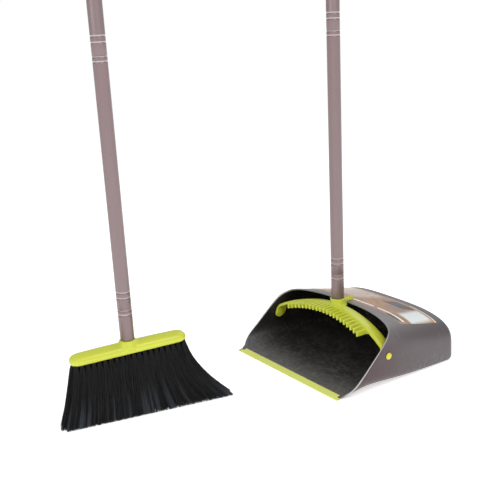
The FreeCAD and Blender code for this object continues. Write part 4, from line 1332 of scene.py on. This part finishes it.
floor_across = maths(tree, "MULTIPLY_ADD", captured["depth"], given["Depth Floor"],
                     given["Across Floor"])
y = maths(tree, "MULTIPLY_ADD", maths(tree, "SUBTRACT", floor_across, across),
          maths(tree, "POWER", fall, 0.8), across)
top = maths(tree, "MULTIPLY_ADD", root, given["Root Slope"], given["Root Height"])
tip = maths(tree, "MULTIPLY", maths(tree, "POWER", captured["short"], 3.0), 0.0018)
z = maths(tree, "MULTIPLY_ADD", maths(tree, "SUBTRACT", tip, top), fall, top)
spot = add(tree, "ShaderNodeCombineXYZ", {0: x, 1: y, 2: z}).outputs[0]
bent = add(tree, "GeometryNodeSetPosition", {"Geometry": real, "Position": spot}).outputs[0]

# %% Marks, thickness and finish
lane = add(tree, "ShaderNodeCombineXYZ", {0: root, 1: given["Across Top"]}).outputs[0]
streak = add(tree, "ShaderNodeTexNoise", {"Vector": lane, "Scale": 420.0, "Detail": 2.0}).outputs[0]
for label, value in (("strand", streak), ("fall", fall)):
    bent = add(tree, "GeometryNodeStoreNamedAttribute",
               {"Geometry": bent, "Name": label, "Value": value},
               data_type="FLOAT", domain="POINT").outputs[0]
section = add(tree, "GeometryNodeCurvePrimitiveCircle",
              {"Resolution": 3, "Radius": given["Thickness"]}).outputs[0]
hair = add(tree, "GeometryNodeCurveToMesh", {"Curve": bent, "Profile Curve": section}).outputs[0]
hair = add(tree, "GeometryNodeSetShadeSmooth", {"Geometry": hair}).outputs[0]
real = add(tree, "GeometryNodeRealizeInstances", {0: hair}).outputs[0]
done = add(tree, "GeometryNodeSetMaterial", {"Geometry": real, "Material": given["Finish"]})
tree.links.new(done.outputs[0], tree.nodes.new("NodeGroupOutput").inputs[0])
bristle_tree = tree

# %% The four rows
row_count = 4
for number in range(row_count):
    place_in_depth = number - (row_count - 1) / 2
    outer_row = number in (0, row_count - 1)
    row = grow(f"bristles_{number + 1}", bristle_tree, {
        "Tufts": 20, "Filaments": 160, "Row Half": (85.0 if outer_row else 88.0) * MM,
        "Tuft Radius": 1.9 * MM, "Root Height": head_base + 1.5 * MM,
        "Root Slope": math.tan(head_tilt), "Stagger": (1.8, -1.2, 1.2, -1.8)[number] * MM,
        "Opening": 1.7, "Across Top": place_in_depth * 6.0 * MM,
        "Across Floor": place_in_depth * 7.4 * MM, "Depth Floor": 8.5 * MM,
        "Spread Left": 20.0 * MM, "Spread Right": 62.0 * MM, "Wave": 0.9 * MM,
        "Thickness": 0.26 * MM, "Seed": 11 * (number + 1), "Finish": bristle_black})
    row.data.transform(stand_broom)
    settle(row, "broom", "bristle_black", bristle_black, f"bristle_row_{number + 1}")

# %% [markdown]
# ## Hidden parts and the floor
#
# Plugs, couplers and tuft anchors sit inside other parts.  They keep their CAD shapes and only
# need a finish.  The floor is a wide sheet of pale paper.

# %% Inner parts
coupler_black, tree, shader = finish("coupler_plastic")
made = use(tree, moulded_plastic, Colour=(0.03, 0.03, 0.032, 1), Shade=(0.015, 0.015, 0.016, 1),
           Gloss=0.45)
feed(tree, shader, made["Colour"], made["Roughness"], made["Height"])
anchor_steel, tree, shader = finish("anchor_wire", Metallic=1.0)
made = use(tree, drawn_metal, Colour=(0.55, 0.54, 0.52, 1), Streak=(0.4, 0.4, 0.4, 1))
feed(tree, shader, made["Colour"], made["Roughness"], made["Height"])
for name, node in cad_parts.items():
    if "coupler" in name or "plug" in name or name == "tuft_anchors":
        node.data.materials.clear()
        node.data.materials.append(anchor_steel if name == "tuft_anchors" else coupler_black)

# %% Floor
reach = 30.0
floor = make_piece("floor", [(-reach, -reach, -0.0003), (reach, -reach, -0.0003),
                             (reach, reach, -0.0003), (-reach, reach, -0.0003)], [(0, 1, 2, 3)])
if floor.data.polygons[0].normal.z < 0:
    floor.data.flip_normals()
floor.data.materials.append(paper)
floor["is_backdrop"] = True

# %% [markdown]
#
# Dressing the parts must not make them bigger.  The two boxes, before and after, are written next
# to each other.

# %% Write the two boxes
made_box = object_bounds()
for name, corners in (("CAD", cad_box), ("visual", made_box)):
    print(name, [tuple(round(v, 4) for v in corner) for corner in corners])
